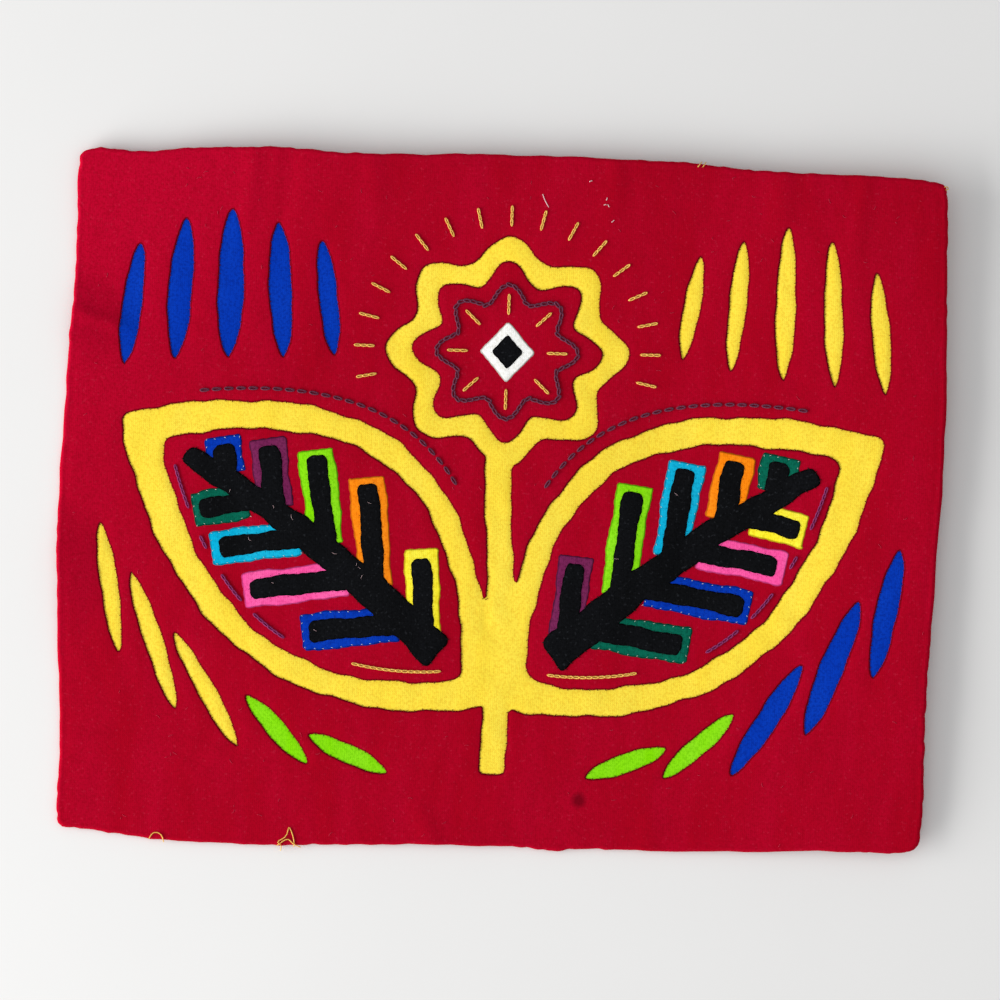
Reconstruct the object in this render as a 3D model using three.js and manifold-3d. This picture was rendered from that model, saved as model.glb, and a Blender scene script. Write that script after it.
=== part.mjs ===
// A mola panel: a red cotton face cloth with its edges hemmed to the back, sewn over a yellow cloth
// that shows through cut windows, with coloured and black cotton pieces let in between them.
// It lies face up. X runs along the long side, Y towards the top edge and Z out of the face.
// Lengths are in millimetres and the origin is at the middle of the back.

import * as THREE from 'three';
import { mergeVertices } from 'three/addons/utils/BufferGeometryUtils.js';
import Module from 'manifold-3d';

const wasm = await Module();
wasm.setup();

// Heights of the layers above the surface that the panel lies on
const UNDER_TOP = 1.0;
const GAP = 0.3;
const FACE_LOW = UNDER_TOP + GAP;
const FACE_TOP = 2.3;
const WINDOW_TOP = 1.9;
const PATCH_TOP = 2.6;
const BLACK_TOP = 2.9;

// The hem's width on the back, and half of the panel's width and height
const HEM = 12;
const HALF_WIDE = 203;
const HALF_HIGH = 160.3;

// The hand-cut edge, one table for each side: how far along the side, and how far out of the middle
const TOP_EDGE = [
  { along: -190, out: 157.1 }, { along: -170, out: 156.4 }, { along: -141, out: 159.0 },
  { along: -108, out: 160.2 }, { along: -68, out: 158.7 }, { along: -10, out: 160.3 },
  { along: 60, out: 160.0 }, { along: 86, out: 159.2 }, { along: 114, out: 157.0 },
  { along: 162, out: 156.2 }, { along: 190, out: 155.0 },
];
const RIGHT_EDGE = [
  { along: 148, out: 199.9 }, { along: 100, out: 201.6 }, { along: 45, out: 203.0 },
  { along: -56, out: 199.7 }, { along: -88, out: 198.4 }, { along: -112, out: 198.8 },
  { along: -142, out: 198.3 },
];
const BOTTOM_EDGE = [
  { along: 190, out: -153.8 }, { along: 171, out: -153.9 }, { along: 80, out: -156.9 },
  { along: 40, out: -157.3 }, { along: 29, out: -158.4 }, { along: 15, out: -157.4 },
  { along: -54, out: -158.4 }, { along: -99, out: -160.3 }, { along: -155, out: -159.2 },
  { along: -186, out: -155.7 },
];
const LEFT_EDGE = [
  { along: -148, out: -198.8 }, { along: -118, out: -198.4 }, { along: -52, out: -201.9 },
  { along: -15, out: -203.0 }, { along: 63, out: -200.6 }, { along: 109, out: -198.5 },
  { along: 148, out: -198.9 },
];
const CORNERS = {
  topRight: [198.6, 153.2],
  bottomRight: [196.4, -151.4],
  bottomLeft: [-196.8, -154.3],
  topLeft: [-197.3, 154.6],
};
const EDGE_STEPS = 117;

// Where the cloth doesn't lie quite flat: it rises gently towards its top and right edges and stands
// off in a few short stretches. Each is a soft swelling around a point, with half widths along X and Y
const SWELLINGS = [
  { x: 70, y: 215, wide: 290, high: 165, lift: 8 },
  { x: -125, y: 210, wide: 150, high: 150, lift: 5 },
  { x: 250, y: 75, wide: 190, high: 220, lift: 9 },
  { x: 245, y: -110, wide: 190, high: 130, lift: 6 },
  { x: -20, y: -182, wide: 60, high: 40, lift: 2.5 },
  { x: -216, y: 78, wide: 44, high: 30, lift: 4 },
  { x: -218, y: -40, wide: 40, high: 45, lift: 3 },
];
const CELLS_WIDE = 14;
const CELLS_HIGH = 12;
const SHEET_SPARE = 8;

// The two leaves, mirror images, along an axis that starts at the stem and bends a little
const LEAF_ROOT = new THREE.Vector2(-3, -92);
const LEAF_TURN = THREE.MathUtils.degToRad(143.5);
const LEAF_LONG = 214;
const LEAF_HALF = 60;
const LEAF_BEND = -9;
const LEAF_STEPS = 20;
const BAND = 11.5;

// The black rib of a leaf with its slanted veins, and the coloured patch under each vein
const RIB_FROM = 32;
const RIB_TO = 180;
const RIB_HALF_ROOT = 8.6;
const RIB_HALF_TIP = 4.8;
const VEIN_SLANT = THREE.MathUtils.degToRad(46);
const VEIN_HALF = 4.8;
const STRIP_START = 3.5;
const PATCH_HALF = 8.3;
const PATCH_RIM = 3.4;
const PATCH_CORNER = 1.2;
const VEIN_CORNER = 2.8;
const VEINS = [
  { at: 40, up: 1, reach: 40, left: 'lemon', right: 'purple' },
  { at: 71, up: 1, reach: 54, left: 'orange', right: 'lime' },
  { at: 101, up: 1, reach: 48, left: 'lime', right: 'cyan' },
  { at: 130, up: 1, reach: 36, left: 'purple', right: 'orange' },
  { at: 157, up: 1, reach: 21, left: 'blue', right: 'teal' },
  { at: 52, up: -1, reach: 50, left: 'blue', right: 'teal' },
  { at: 83, up: -1, reach: 53, left: 'pink', right: 'blue' },
  { at: 113, up: -1, reach: 43, left: 'cyan', right: 'pink' },
  { at: 141, up: -1, reach: 29, left: 'teal', right: 'lemon' },
];

// The blossom: a ring of rounded lobes round a diamond heart, on a stem
const BLOSSOM = new THREE.Vector2(1, 70);
const BLOSSOM_RADIUS = 48;
const BLOSSOM_LOBES = 8;
const LOBE_RISE = 5;
const BLOSSOM_STEPS = 72;
const HEART_WHITE = { halfWide: 13, halfHigh: 14 };
const HEART_BLACK = { halfWide: 7.5, halfHigh: 8 };
const STEM_FROM = -124;
const STEM_TO = 23;
const STEM_HALF = 6;
const STEM_SWAY = 2.2;
const STEM_STEPS = 12;

// The slits cut in the ground: middle, lean to the left in degrees, length and greatest width
const SLITS = [
  { cloth: 'blue', x: -172, y: 86, lean: -6, long: 56, wide: 9 },
  { cloth: 'blue', x: -150, y: 94, lean: -3, long: 64, wide: 11 },
  { cloth: 'blue', x: -127, y: 97, lean: 0, long: 68, wide: 12 },
  { cloth: 'blue', x: -104, y: 95, lean: 4, long: 62, wide: 10.5 },
  { cloth: 'blue', x: -82, y: 92, lean: 8, long: 52, wide: 9 },
  { cloth: 'yellow', x: 172, y: 84, lean: 6, long: 56, wide: 8 },
  { cloth: 'yellow', x: 150, y: 92, lean: 3, long: 66, wide: 8.5 },
  { cloth: 'yellow', x: 128, y: 96, lean: 0, long: 70, wide: 9 },
  { cloth: 'yellow', x: 106, y: 95, lean: -4, long: 60, wide: 8 },
  { cloth: 'yellow', x: 85, y: 93, lean: -8, long: 48, wide: 7.5 },
  { cloth: 'yellow', x: -178, y: -44, lean: 10, long: 60, wide: 8 },
  { cloth: 'yellow', x: -157, y: -68, lean: 20, long: 66, wide: 8.5 },
  { cloth: 'yellow', x: -132, y: -90, lean: 31, long: 60, wide: 8 },
  { cloth: 'lime', x: -99, y: -107, lean: 44, long: 42, wide: 8.5 },
  { cloth: 'lime', x: -66, y: -117, lean: 66, long: 40, wide: 8.5 },
  { cloth: 'blue', x: 179, y: -44, lean: -10, long: 60, wide: 10 },
  { cloth: 'blue', x: 155, y: -70, lean: -20, long: 66, wide: 11 },
  { cloth: 'blue', x: 126, y: -95, lean: -31, long: 60, wide: 10 },
  { cloth: 'lime', x: 95, y: -108, lean: -46, long: 44, wide: 8.5 },
  { cloth: 'lime', x: 62, y: -117, lean: -68, long: 40, wide: 8.5 },
];
const SLIT_ROUNDING = 2.4;
const SLIT_BLUNTNESS = 0.65;
const SLIT_STEPS = 8;

// Colours of the dyed cottons
const COTTON = {
  red: 0xb00222, yellow: 0xfcdc3e, black: 0x121216, white: 0xf8f7f0, blue: 0x0334ac, orange: 0xff8012,
  teal: 0x066850, lemon: 0xffee1c, cyan: 0x11abd3, purple: 0x6f2060, pink: 0xf44c9c, lime: 0x84de14,
};
const COTTON_ROUGHNESS = 0.9;

// How much the cloth stands off the surface at a place: the sum of the soft swellings
function lift(x, y) {
  let height = 0;
  for (const s of SWELLINGS) {
    const far = Math.hypot((x - s.x) / s.wide, (y - s.y) / s.high);
    const near = Math.max(0, 1 - far * far);
    height += s.lift * near * near;
  }
  return height;
}

function toSolid(geometry) {
  geometry.deleteAttribute('normal');
  geometry.deleteAttribute('uv');
  const merged = mergeVertices(geometry);
  return new wasm.Manifold(new wasm.Mesh({
    numProp: 3,
    vertProperties: new Float32Array(merged.attributes.position.array),
    triVerts: new Uint32Array(merged.index.array),
  }));
}

// The indices round the border of a plane's grid, anticlockwise from its upper left corner
function gridBorder() {
  const row = CELLS_WIDE + 1;
  const last = row * CELLS_HIGH;
  const border = [];
  for (let j = 0; j < CELLS_HIGH; j += 1) border.push(j * row);
  for (let i = 0; i < CELLS_WIDE; i += 1) border.push(last + i);
  for (let j = CELLS_HIGH; j > 0; j -= 1) border.push(j * row + CELLS_WIDE);
  for (let i = CELLS_WIDE; i > 0; i -= 1) border.push(i);
  return border;
}

// A layer of cloth between two heights, larger than the panel, lifted where the cloth is lifted.
// Its cells are small towards the edges, where the lifts are, and large in the flat middle.
function layer(low, high) {
  const halfWide = HALF_WIDE + SHEET_SPARE;
  const halfHigh = HALF_HIGH + SHEET_SPARE;
  const plane = new THREE.PlaneGeometry(2 * halfWide, 2 * halfHigh, CELLS_WIDE, CELLS_HIGH);
  const flat = plane.attributes.position;
  const crowd = (value, half) => half * Math.sin(Math.PI / 2 * value / half);
  const points = [];
  for (const level of [high, low]) {
    for (let i = 0; i < flat.count; i += 1) {
      const x = crowd(flat.getX(i), halfWide);
      const y = crowd(flat.getY(i), halfHigh);
      points.push(x, y, level + lift(x, y));
    }
  }
  const upper = [...plane.index.array];
  const lower = upper.map((index) => index + flat.count).reverse();
  const walls = gridBorder().flatMap((a, i, border) => {
    const b = border[(i + 1) % border.length];
    return [a, a + flat.count, b + flat.count, a, b + flat.count, b];
  });
  const slab = new THREE.BufferGeometry();
  slab.setAttribute('position', new THREE.Float32BufferAttribute(points, 3));
  slab.setIndex([...upper, ...lower, ...walls]);
  return toSolid(slab);
}

// A tall upright cutter with the given outline
function cutter(points) {
  const tall = 60;
  const prism = new THREE.ExtrudeGeometry(new THREE.Shape(points), { depth: tall, bevelEnabled: false });
  prism.translate(0, 0, -tall / 2);
  return toSolid(prism);
}

function joined(solids) {
  return solids.reduce((whole, piece) => whole.add(piece));
}

// The panel's outline as one closed curve through the edge tables, drawn in by the given width
function panelOutline(inset) {
  const across = (row) => new THREE.Vector3(row.along, row.out, 0);
  const upright = (row) => new THREE.Vector3(row.out, row.along, 0);
  const corner = (name) => new THREE.Vector3(...CORNERS[name], 0);
  const curve = new THREE.CatmullRomCurve3([
    ...TOP_EDGE.map(across), corner('topRight'),
    ...RIGHT_EDGE.map(upright), corner('bottomRight'),
    ...BOTTOM_EDGE.map(across), corner('bottomLeft'),
    ...LEFT_EDGE.map(upright), corner('topLeft'),
  ], true);
  const narrower = 1 - inset / HALF_WIDE;
  const lower = 1 - inset / HALF_HIGH;
  return curve.getPoints(EDGE_STEPS).slice(0, -1)
    .map((p) => new THREE.Vector2(p.x * narrower, p.y * lower));
}

// A place in the leaf, from the length along its axis and the distance to its upper side
function inLeaf(mirror, along, side) {
  const bent = side - LEAF_BEND * Math.sin(Math.PI * along / LEAF_LONG);
  const point = new THREE.Vector2(along, -bent).rotateAround(new THREE.Vector2(), LEAF_TURN).add(LEAF_ROOT);
  return new THREE.Vector2(mirror * point.x, point.y);
}

function leafOutline(mirror, inset) {
  const from = 1.5 * inset;
  const to = LEAF_LONG - 1.9 * inset;
  const upper = [];
  const lower = [];
  for (let i = 0; i <= LEAF_STEPS; i += 1) {
    const share = (1 - Math.cos(Math.PI * i / LEAF_STEPS)) / 2;
    const half = (LEAF_HALF - inset) * Math.sin(Math.PI * share ** 0.95) ** 0.85;
    const along = from + (to - from) * share;
    upper.push(inLeaf(mirror, along, half));
    if (i > 0 && i < LEAF_STEPS) lower.unshift(inLeaf(mirror, along, -half));
  }
  return [...upper, ...lower];
}

function ribOutline(mirror, grow) {
  const from = RIB_FROM - grow;
  const to = RIB_TO + grow;
  const steps = 10;
  const upper = [];
  const lower = [];
  for (let i = 0; i <= steps; i += 1) {
    const half = THREE.MathUtils.lerp(RIB_HALF_ROOT, RIB_HALF_TIP, i / steps) + grow;
    const along = from + (to - from) * i / steps;
    upper.push(inLeaf(mirror, along, half));
    lower.unshift(inLeaf(mirror, along, -half));
  }
  return [...upper, ...lower];
}

// A strip that slants off the rib, with rounded corners at its far end
function stripOutline(mirror, vein, start, reach, half, round) {
  const shape = new THREE.Shape();
  shape.moveTo(start, -half);
  shape.lineTo(reach - round, -half);
  shape.absarc(reach - round, -half + round, round, -Math.PI / 2, 0);
  shape.absarc(reach - round, half - round, round, 0, Math.PI / 2);
  shape.lineTo(start, half);
  const slant = vein.up * VEIN_SLANT;
  return shape.getPoints(3).map((p) => {
    const turned = p.clone().rotateAround(new THREE.Vector2(), slant);
    return inLeaf(mirror, vein.at + turned.x, turned.y);
  });
}

function veinOutline(mirror, vein, grow) {
  return stripOutline(
    mirror, vein, STRIP_START + GAP, vein.reach - PATCH_RIM + grow, VEIN_HALF + grow, VEIN_CORNER,
  );
}

function patchOutline(mirror, vein, grow) {
  return stripOutline(
    mirror, vein, STRIP_START - grow, vein.reach + grow, PATCH_HALF + grow, PATCH_CORNER,
  );
}

function blossomOutline(inset) {
  const points = [];
  for (let i = 0; i < BLOSSOM_STEPS; i += 1) {
    const turn = 2 * Math.PI * i / BLOSSOM_STEPS;
    const radius = BLOSSOM_RADIUS + LOBE_RISE * Math.cos(BLOSSOM_LOBES * turn) - inset;
    points.push(new THREE.Vector2(1.06 * radius * Math.cos(turn), radius * Math.sin(turn)).add(BLOSSOM));
  }
  return points;
}

function diamond(heart, grow) {
  const wide = heart.halfWide + grow;
  const high = heart.halfHigh + grow;
  return [[wide, 0], [0, high], [-wide, 0], [0, -high]]
    .map(([x, y]) => new THREE.Vector2(x, y).add(BLOSSOM));
}

function stemOutline(inset) {
  const from = STEM_FROM + inset;
  const right = [];
  const left = [];
  for (let i = 0; i <= STEM_STEPS; i += 1) {
    const y = from + (STEM_TO - from) * i / STEM_STEPS;
    const middle = STEM_SWAY * Math.sin(1.3 * Math.PI * i / STEM_STEPS);
    right.push(new THREE.Vector2(middle + STEM_HALF - inset, y));
    left.unshift(new THREE.Vector2(middle - STEM_HALF + inset, y));
  }
  return [...right, ...left];
}

// A slit is a slim lens with blunt ends, widest at its middle
function slitOutline(slit, inset) {
  const reach = slit.long / 2 - inset;
  const turn = THREE.MathUtils.degToRad(90 + slit.lean);
  const sides = [1, -1].map((side) => {
    const points = [];
    for (let i = 0; i < SLIT_STEPS; i += 1) {
      const share = -side * Math.cos(Math.PI * i / SLIT_STEPS);
      const half = (slit.wide / 2 - inset) * (1 - Math.abs(share) ** SLIT_ROUNDING) ** SLIT_BLUNTNESS;
      points.push(new THREE.Vector2(reach * share, -side * half));
    }
    return points;
  });
  return sides.flat().map((p) => p.rotateAround(new THREE.Vector2(), turn)
    .add(new THREE.Vector2(slit.x, slit.y)));
}

// Everything of the yellow cloth that shows, drawn in by the given width
function figureCutter(inset) {
  return joined([
    cutter(leafOutline(1, inset)), cutter(leafOutline(-1, inset)),
    cutter(blossomOutline(inset)), cutter(stemOutline(inset)),
  ]);
}

const panel = new THREE.Group();

function addPiece(name, cloth, solid) {
  const { vertProperties, triVerts } = solid.getMesh();
  const geometry = new THREE.BufferGeometry();
  geometry.setAttribute('position', new THREE.BufferAttribute(vertProperties, 3));
  geometry.setIndex(new THREE.BufferAttribute(triVerts, 1));
  geometry.computeVertexNormals();
  const material = new THREE.MeshStandardMaterial({
    color: COTTON[cloth], roughness: COTTON_ROUGHNESS, metalness: 0, flatShading: true,
  });
  const mesh = new THREE.Mesh(geometry, material);
  mesh.name = name;
  panel.add(mesh);
}

const faceLayer = layer(FACE_LOW, FACE_TOP);
const windowLayer = layer(FACE_LOW, WINDOW_TOP);
const patchLayer = layer(FACE_LOW, PATCH_TOP);
const blackLayer = layer(FACE_LOW, BLACK_TOP);

// The yellow cloth, a flat sheet that rises into the windows
function underCloth() {
  const sheet = layer(0, UNDER_TOP).intersect(cutter(panelOutline(HEM + GAP)));
  const fields = joined([
    cutter(leafOutline(1, BAND - GAP)), cutter(leafOutline(-1, BAND - GAP)), cutter(blossomOutline(BAND - GAP)),
  ]);
  const slits = SLITS.filter((slit) => slit.cloth === 'yellow').map((slit) => cutter(slitOutline(slit, GAP)));
  const shown = joined([figureCutter(GAP).subtract(fields), ...slits]);
  return sheet.add(layer(UNDER_TOP / 2, WINDOW_TOP).intersect(shown));
}

// The red cloth, with its windows cut out and its hem turned to the back round the yellow cloth
function faceCloth() {
  const whole = layer(0, FACE_TOP).intersect(cutter(panelOutline(0)));
  const recess = layer(-FACE_TOP, FACE_LOW).intersect(cutter(panelOutline(HEM)));
  const slits = SLITS.map((slit) => cutter(slitOutline(slit, 0)));
  return whole.subtract(recess).subtract(joined([figureCutter(0), ...slits]));
}

addPiece('under_cloth', 'yellow', underCloth());
addPiece('face_cloth', 'red', faceCloth());

for (const [side, mirror] of [['left', 1], ['right', -1]]) {
  const holes = joined([
    cutter(ribOutline(mirror, GAP)), ...VEINS.map((vein) => cutter(patchOutline(mirror, vein, GAP))),
  ]);
  addPiece(`leaf_field_${side}`, 'red', faceLayer.intersect(cutter(leafOutline(mirror, BAND))).subtract(holes));

  const rib = joined([
    cutter(ribOutline(mirror, 0)), ...VEINS.map((vein) => cutter(veinOutline(mirror, vein, 0))),
  ]);
  addPiece(`leaf_rib_${side}`, 'black', blackLayer.intersect(rib));

  const ribRoom = joined([
    cutter(ribOutline(mirror, GAP)), ...VEINS.map((vein) => cutter(veinOutline(mirror, vein, GAP))),
  ]);
  VEINS.forEach((vein, i) => {
    const patch = cutter(patchOutline(mirror, vein, 0)).subtract(ribRoom);
    addPiece(`vein_patch_${side}_${i + 1}`, vein[side], patchLayer.intersect(patch));
  });
}

const heartRoom = cutter(diamond(HEART_WHITE, GAP));
addPiece('blossom_field', 'red', faceLayer.intersect(cutter(blossomOutline(BAND))).subtract(heartRoom));
const heartRing = cutter(diamond(HEART_WHITE, 0)).subtract(cutter(diamond(HEART_BLACK, GAP)));
addPiece('heart_white', 'white', patchLayer.intersect(heartRing));
addPiece('heart_black', 'black', blackLayer.intersect(cutter(diamond(HEART_BLACK, 0))));

SLITS.filter((slit) => slit.cloth !== 'yellow').forEach((slit, i) => {
  addPiece(`slit_patch_${i + 1}`, slit.cloth, windowLayer.intersect(cutter(slitOutline(slit, GAP))));
});

export default panel;
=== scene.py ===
# %% [markdown]
# # A hand-sewn mola panel
# A mola is a panel of cotton layers. Windows are cut in the top cloth, their edges are turned under and
# sewn down, and another cloth shows through. Small pieces are sewn on top, and lines are embroidered.
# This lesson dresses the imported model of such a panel: every cloth becomes a thin sheet with soft rolled
# edges, and the sewing is added thread by thread. Work is done in millimetres and turned to metres
# where a mesh is made.

# %% Load the frame
import math

import bpy
import numpy as np
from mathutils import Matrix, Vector


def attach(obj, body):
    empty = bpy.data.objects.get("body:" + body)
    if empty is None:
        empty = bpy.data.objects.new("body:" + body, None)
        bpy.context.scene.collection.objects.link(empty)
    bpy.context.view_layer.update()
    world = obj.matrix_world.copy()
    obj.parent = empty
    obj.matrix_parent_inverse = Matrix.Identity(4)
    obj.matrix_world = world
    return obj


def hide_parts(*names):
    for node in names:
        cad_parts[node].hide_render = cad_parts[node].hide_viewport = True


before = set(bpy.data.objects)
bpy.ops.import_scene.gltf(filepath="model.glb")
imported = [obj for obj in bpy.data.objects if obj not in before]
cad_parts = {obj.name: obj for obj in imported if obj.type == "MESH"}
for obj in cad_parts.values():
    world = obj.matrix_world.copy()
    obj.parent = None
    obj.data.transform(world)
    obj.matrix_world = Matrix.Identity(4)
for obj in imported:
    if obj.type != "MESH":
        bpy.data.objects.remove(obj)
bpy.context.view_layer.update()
MM = 0.001
rng = np.random.default_rng(41)
print("CAD nodes:", len(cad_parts))

# %% [markdown]
# ## Where the panel lies
# The panel lies face up, X along its long side and Y towards its top edge. Its outline is cut by hand,
# so each side is a short table: how far along the side, and how far from the middle. A smooth closed
# curve through those points is the edge, and a slow wobble of a few tenths of a millimetre is added
# because no scissors run quite true.

# %% Sides of the panel
HALF_WIDE, HALF_HIGH = 203.0, 160.3
TOP_EDGE = [(-190, 157.1), (-170, 156.4), (-141, 159.0), (-108, 160.2), (-68, 158.7), (-10, 160.3),
            (60, 160.0), (86, 159.2), (114, 157.0), (162, 156.2), (190, 155.0)]
RIGHT_EDGE = [(148, 199.9), (100, 201.6), (45, 203.0), (-56, 199.7), (-88, 198.4), (-112, 198.8),
              (-142, 198.3)]
BOTTOM_EDGE = [(190, -153.8), (171, -153.9), (80, -156.9), (40, -157.3), (29, -158.4), (15, -157.4),
               (-54, -158.4), (-99, -160.3), (-155, -159.2), (-186, -155.7)]
LEFT_EDGE = [(-148, -198.8), (-118, -198.4), (-52, -201.9), (-15, -203.0), (63, -200.6), (109, -198.5),
             (148, -198.9)]
CORNERS = {"top right": (198.6, 153.2), "bottom right": (196.4, -151.4),
           "bottom left": (-196.8, -154.3), "top left": (-197.3, 154.6)}
print("sides drawn through", [len(side) for side in (TOP_EDGE, RIGHT_EDGE, BOTTOM_EDGE, LEFT_EDGE)], "points")

# %% [markdown]
# A curve object could join the points, but the outline is needed as plain numbers later, to measure how far
# each place lies from it. So the curve is worked out with arrays.

# %% Smooth outline


def smooth_loop(points, steps):
    """A closed curve through the points, steps places to each stretch.

    Each stretch is a cubic whose end slopes come from its neighbours, weighed by the square root of the
    distance between points, so the curve stays close to the points where they crowd.
    """
    p1 = np.asarray(points, float)
    p0, p2, p3 = np.roll(p1, 1, 0), np.roll(p1, -1, 0), np.roll(p1, -2, 0)
    gap = [np.sqrt(np.linalg.norm(b - a, axis=1))[:, None] for a, b in ((p0, p1), (p1, p2), (p2, p3))]
    m1 = ((p1 - p0) / gap[0] - (p2 - p0) / (gap[0] + gap[1]) + (p2 - p1) / gap[1]) * gap[1]
    m2 = ((p2 - p1) / gap[1] - (p3 - p1) / (gap[1] + gap[2]) + (p3 - p2) / gap[2]) * gap[1]
    t = (np.arange(steps) / steps)[None, :, None]
    p1, p2, m1, m2 = (v[:, None, :] for v in (p1, p2, m1, m2))
    curve = p1 + m1 * t + (3 * (p2 - p1) - 2 * m1 - m2) * t**2 + (2 * (p1 - p2) + m1 + m2) * t**3
    return curve.reshape(-1, 2)


def panel_loop(steps=12):
    """The panel's outline, clockwise from the upper left."""
    turned = lambda rows: [(out, along) for along, out in rows]
    return smooth_loop(TOP_EDGE + [CORNERS["top right"]] + turned(RIGHT_EDGE) + [CORNERS["bottom right"]]
                       + BOTTOM_EDGE + [CORNERS["bottom left"]] + turned(LEFT_EDGE) + [CORNERS["top left"]],
                       steps)


def turn(points, angle):
    """Points turned about the origin, anticlockwise."""
    c, s = math.cos(angle), math.sin(angle)
    return np.stack([points[..., 0] * c - points[..., 1] * s, points[..., 0] * s + points[..., 1] * c], -1)


def wobbled(loop, seed, size=0.35, waves=(46, 21, 11)):
    """A loop moved along its own normal by three sine waves of about the given lengths."""
    step = np.roll(loop, -1, 0) - np.roll(loop, 1, 0)
    normal = np.stack([step[:, 1], -step[:, 0]], 1) / (np.linalg.norm(step, axis=1)[:, None] + 1e-9)
    run = np.cumsum(np.linalg.norm(np.roll(loop, -1, 0) - loop, axis=1))
    share = 2 * np.pi * run / run[-1]
    phase = np.random.default_rng(seed).uniform(0, 2 * np.pi, 3)
    counts = [max(2, round(run[-1] / mm)) for mm in waves]
    wave = sum(w * np.sin(n * share + p) for w, n, p in zip((1.0, 0.7, 0.45), counts, phase))
    return loop + size * wave[:, None] * normal


outline = wobbled(wobbled(panel_loop(), seed=5, size=0.15), seed=6, size=0.16, waves=(10, 6, 4))
print("outline from", outline.min(0).round(1), "to", outline.max(0).round(1))

# %% [markdown]
# ## How the cloth lies
# Loose cloth never lies quite flat. It stands off the table in a few broad swellings, keeps soft folds
# from handling, and ripples slowly where the sewing has drawn it in. All layers share one height
# function, so they stay parallel and never cut through each other.

# %% Height of the cloth
# Each swelling: middle x and y, half width along x and along y, height
SWELLINGS = [(70, 215, 290, 165, 8), (-125, 210, 150, 150, 5), (250, 75, 190, 220, 9),
             (245, -110, 190, 130, 6), (-20, -182, 60, 40, 2.5), (-216, 78, 44, 30, 4),
             (-218, -40, 40, 45, 3)]
# Each fold: from x and y, to x and y, half width, height
FOLDS = [(-212, 87, -166, 72, 3.4, 0.8), (-117, 176, -122, 116, 5, 0.45), (-100, 176, -105, 118, 4, -0.4),
         (-64, 176, -62, 124, 6, 0.4), (50, 176, 45, 122, 5, 0.4), (122, 172, 126, 120, 6, 0.45),
         (163, 168, 157, 112, 4.5, 0.4), (-18, -174, -36, -134, 5, 0.45), (70, -172, 76, -132, 6, 0.4),
         (218, 12, 174, 3, 5, 0.45), (214, -78, 172, -88, 5, 0.4), (-216, -32, -178, -25, 5, 0.4),
         (-214, -122, -172, -110, 5, 0.4)]


def lift(x, y):
    """Height of the swellings above the table: each is its height times (1 - r squared) squared."""
    height = np.zeros(np.shape(x))
    for middle_x, middle_y, wide, high, rise in SWELLINGS:
        near = np.clip(1 - ((x - middle_x) / wide) ** 2 - ((y - middle_y) / high) ** 2, 0, None)
        height = height + rise * near**2
    return height


def folds(x, y):
    """Soft folds: height times exp(-(distance / half width) squared), fading towards both ends."""
    height = np.zeros(np.shape(x))
    for x0, y0, x1, y1, wide, rise in FOLDS:
        dx, dy = x1 - x0, y1 - y0
        share = ((x - x0) * dx + (y - y0) * dy) / (dx**2 + dy**2)
        off = ((x - x0) * dy - (y - y0) * dx) / math.hypot(dx, dy)
        height = height + rise * np.exp(-((off / wide) ** 2)) * np.clip(4 * share * (1 - share), 0, None)
    return height


def sway(x, y):
    """Slow ripples that hand-sewn cloth keeps, 0 to about 0.5 mm: a few crossing waves."""
    waves = (np.sin(x / 19 + 0.6 * np.sin(y / 31)) + np.sin(y / 23 + 0.8 * np.sin(x / 43) + 1.3)
             + 0.7 * np.sin((x + 0.6 * y) / 11.7 + 2.0) + 0.6 * np.sin((x - 0.8 * y) / 8.3))
    return 0.075 * (waves + 3.3)


def soft(x, y):
    """Height of the ripples and folds alone."""
    return sway(x, y) + np.clip(folds(x, y), -0.3, None)


def ground(x, y):
    """Height on which the layers lie: swellings, ripples and folds."""
    return lift(x, y) + soft(x, y)


print("edge stands up to", round(float(ground(*outline.T).max()), 1), "mm off the table")

# %% [markdown]
# ## Camera, floor and light
# The panel is seen from straight above and turned two degrees, so the camera hangs over it and is turned
# the same way. The light is a large soft panel low on the left and near side: it rakes over the cloth
# and shows the seams, and leaves a soft shadow along the far and right edges where the cloth lifts.

# %% Camera and light
scene = bpy.context.scene
MM_PER_PIXEL = 0.46
VIEW_MM = 1000 * MM_PER_PIXEL
LENS, SENSOR = 200.0, 36.0
TURN = math.radians(2.0)
AIM = (0.0, 1.9)
SKY_TINT, SKY_STRENGTH = (0.97, 0.98, 1.0, 1), 0.6

camera_data = bpy.data.cameras.new("camera above the panel")
camera_data.lens = LENS
camera_data.sensor_width = SENSOR
camera = bpy.data.objects.new("camera above the panel", camera_data)
camera.location = (AIM[0] * MM, AIM[1] * MM, VIEW_MM * LENS / SENSOR * MM)
camera.rotation_euler = (0, 0, TURN)
scene.collection.objects.link(camera)
scene.camera = camera
scene.view_settings.view_transform = "Standard"


def soft_light(name, place, target, wide, high, watts):
    """An oblong area light at place, in metres, that looks at target."""
    data = bpy.data.lights.new(name, "AREA")
    data.shape = "RECTANGLE"
    data.size, data.size_y = wide, high
    data.energy = watts
    lamp = bpy.data.objects.new(name, data)
    lamp.location = place
    lamp.rotation_euler = (Vector(target) - Vector(place)).to_track_quat("-Z", "Y").to_euler()
    scene.collection.objects.link(lamp)


soft_light("window light", place=(-2.2, -0.75, 0.66), target=(0, 0, 0), wide=3.2, high=1.4, watts=116)
world = bpy.data.worlds.new("pale room")
scene.world = world
world.use_nodes = True
sky = world.node_tree.nodes["Background"].inputs
sky["Color"].default_value = SKY_TINT
sky["Strength"].default_value = SKY_STRENGTH
print("camera", round(camera.location.z, 3), "m above the table")

# %% [markdown]
# ## Colours and nodes
# Colours are written as on a screen and turned to linear light by one function, because that is what the
# renderer adds up. A material could be drawn by hand in the node editor. Here one function adds a node, so
# that a material reads like a recipe.

# %% Node helper and colours


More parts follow.
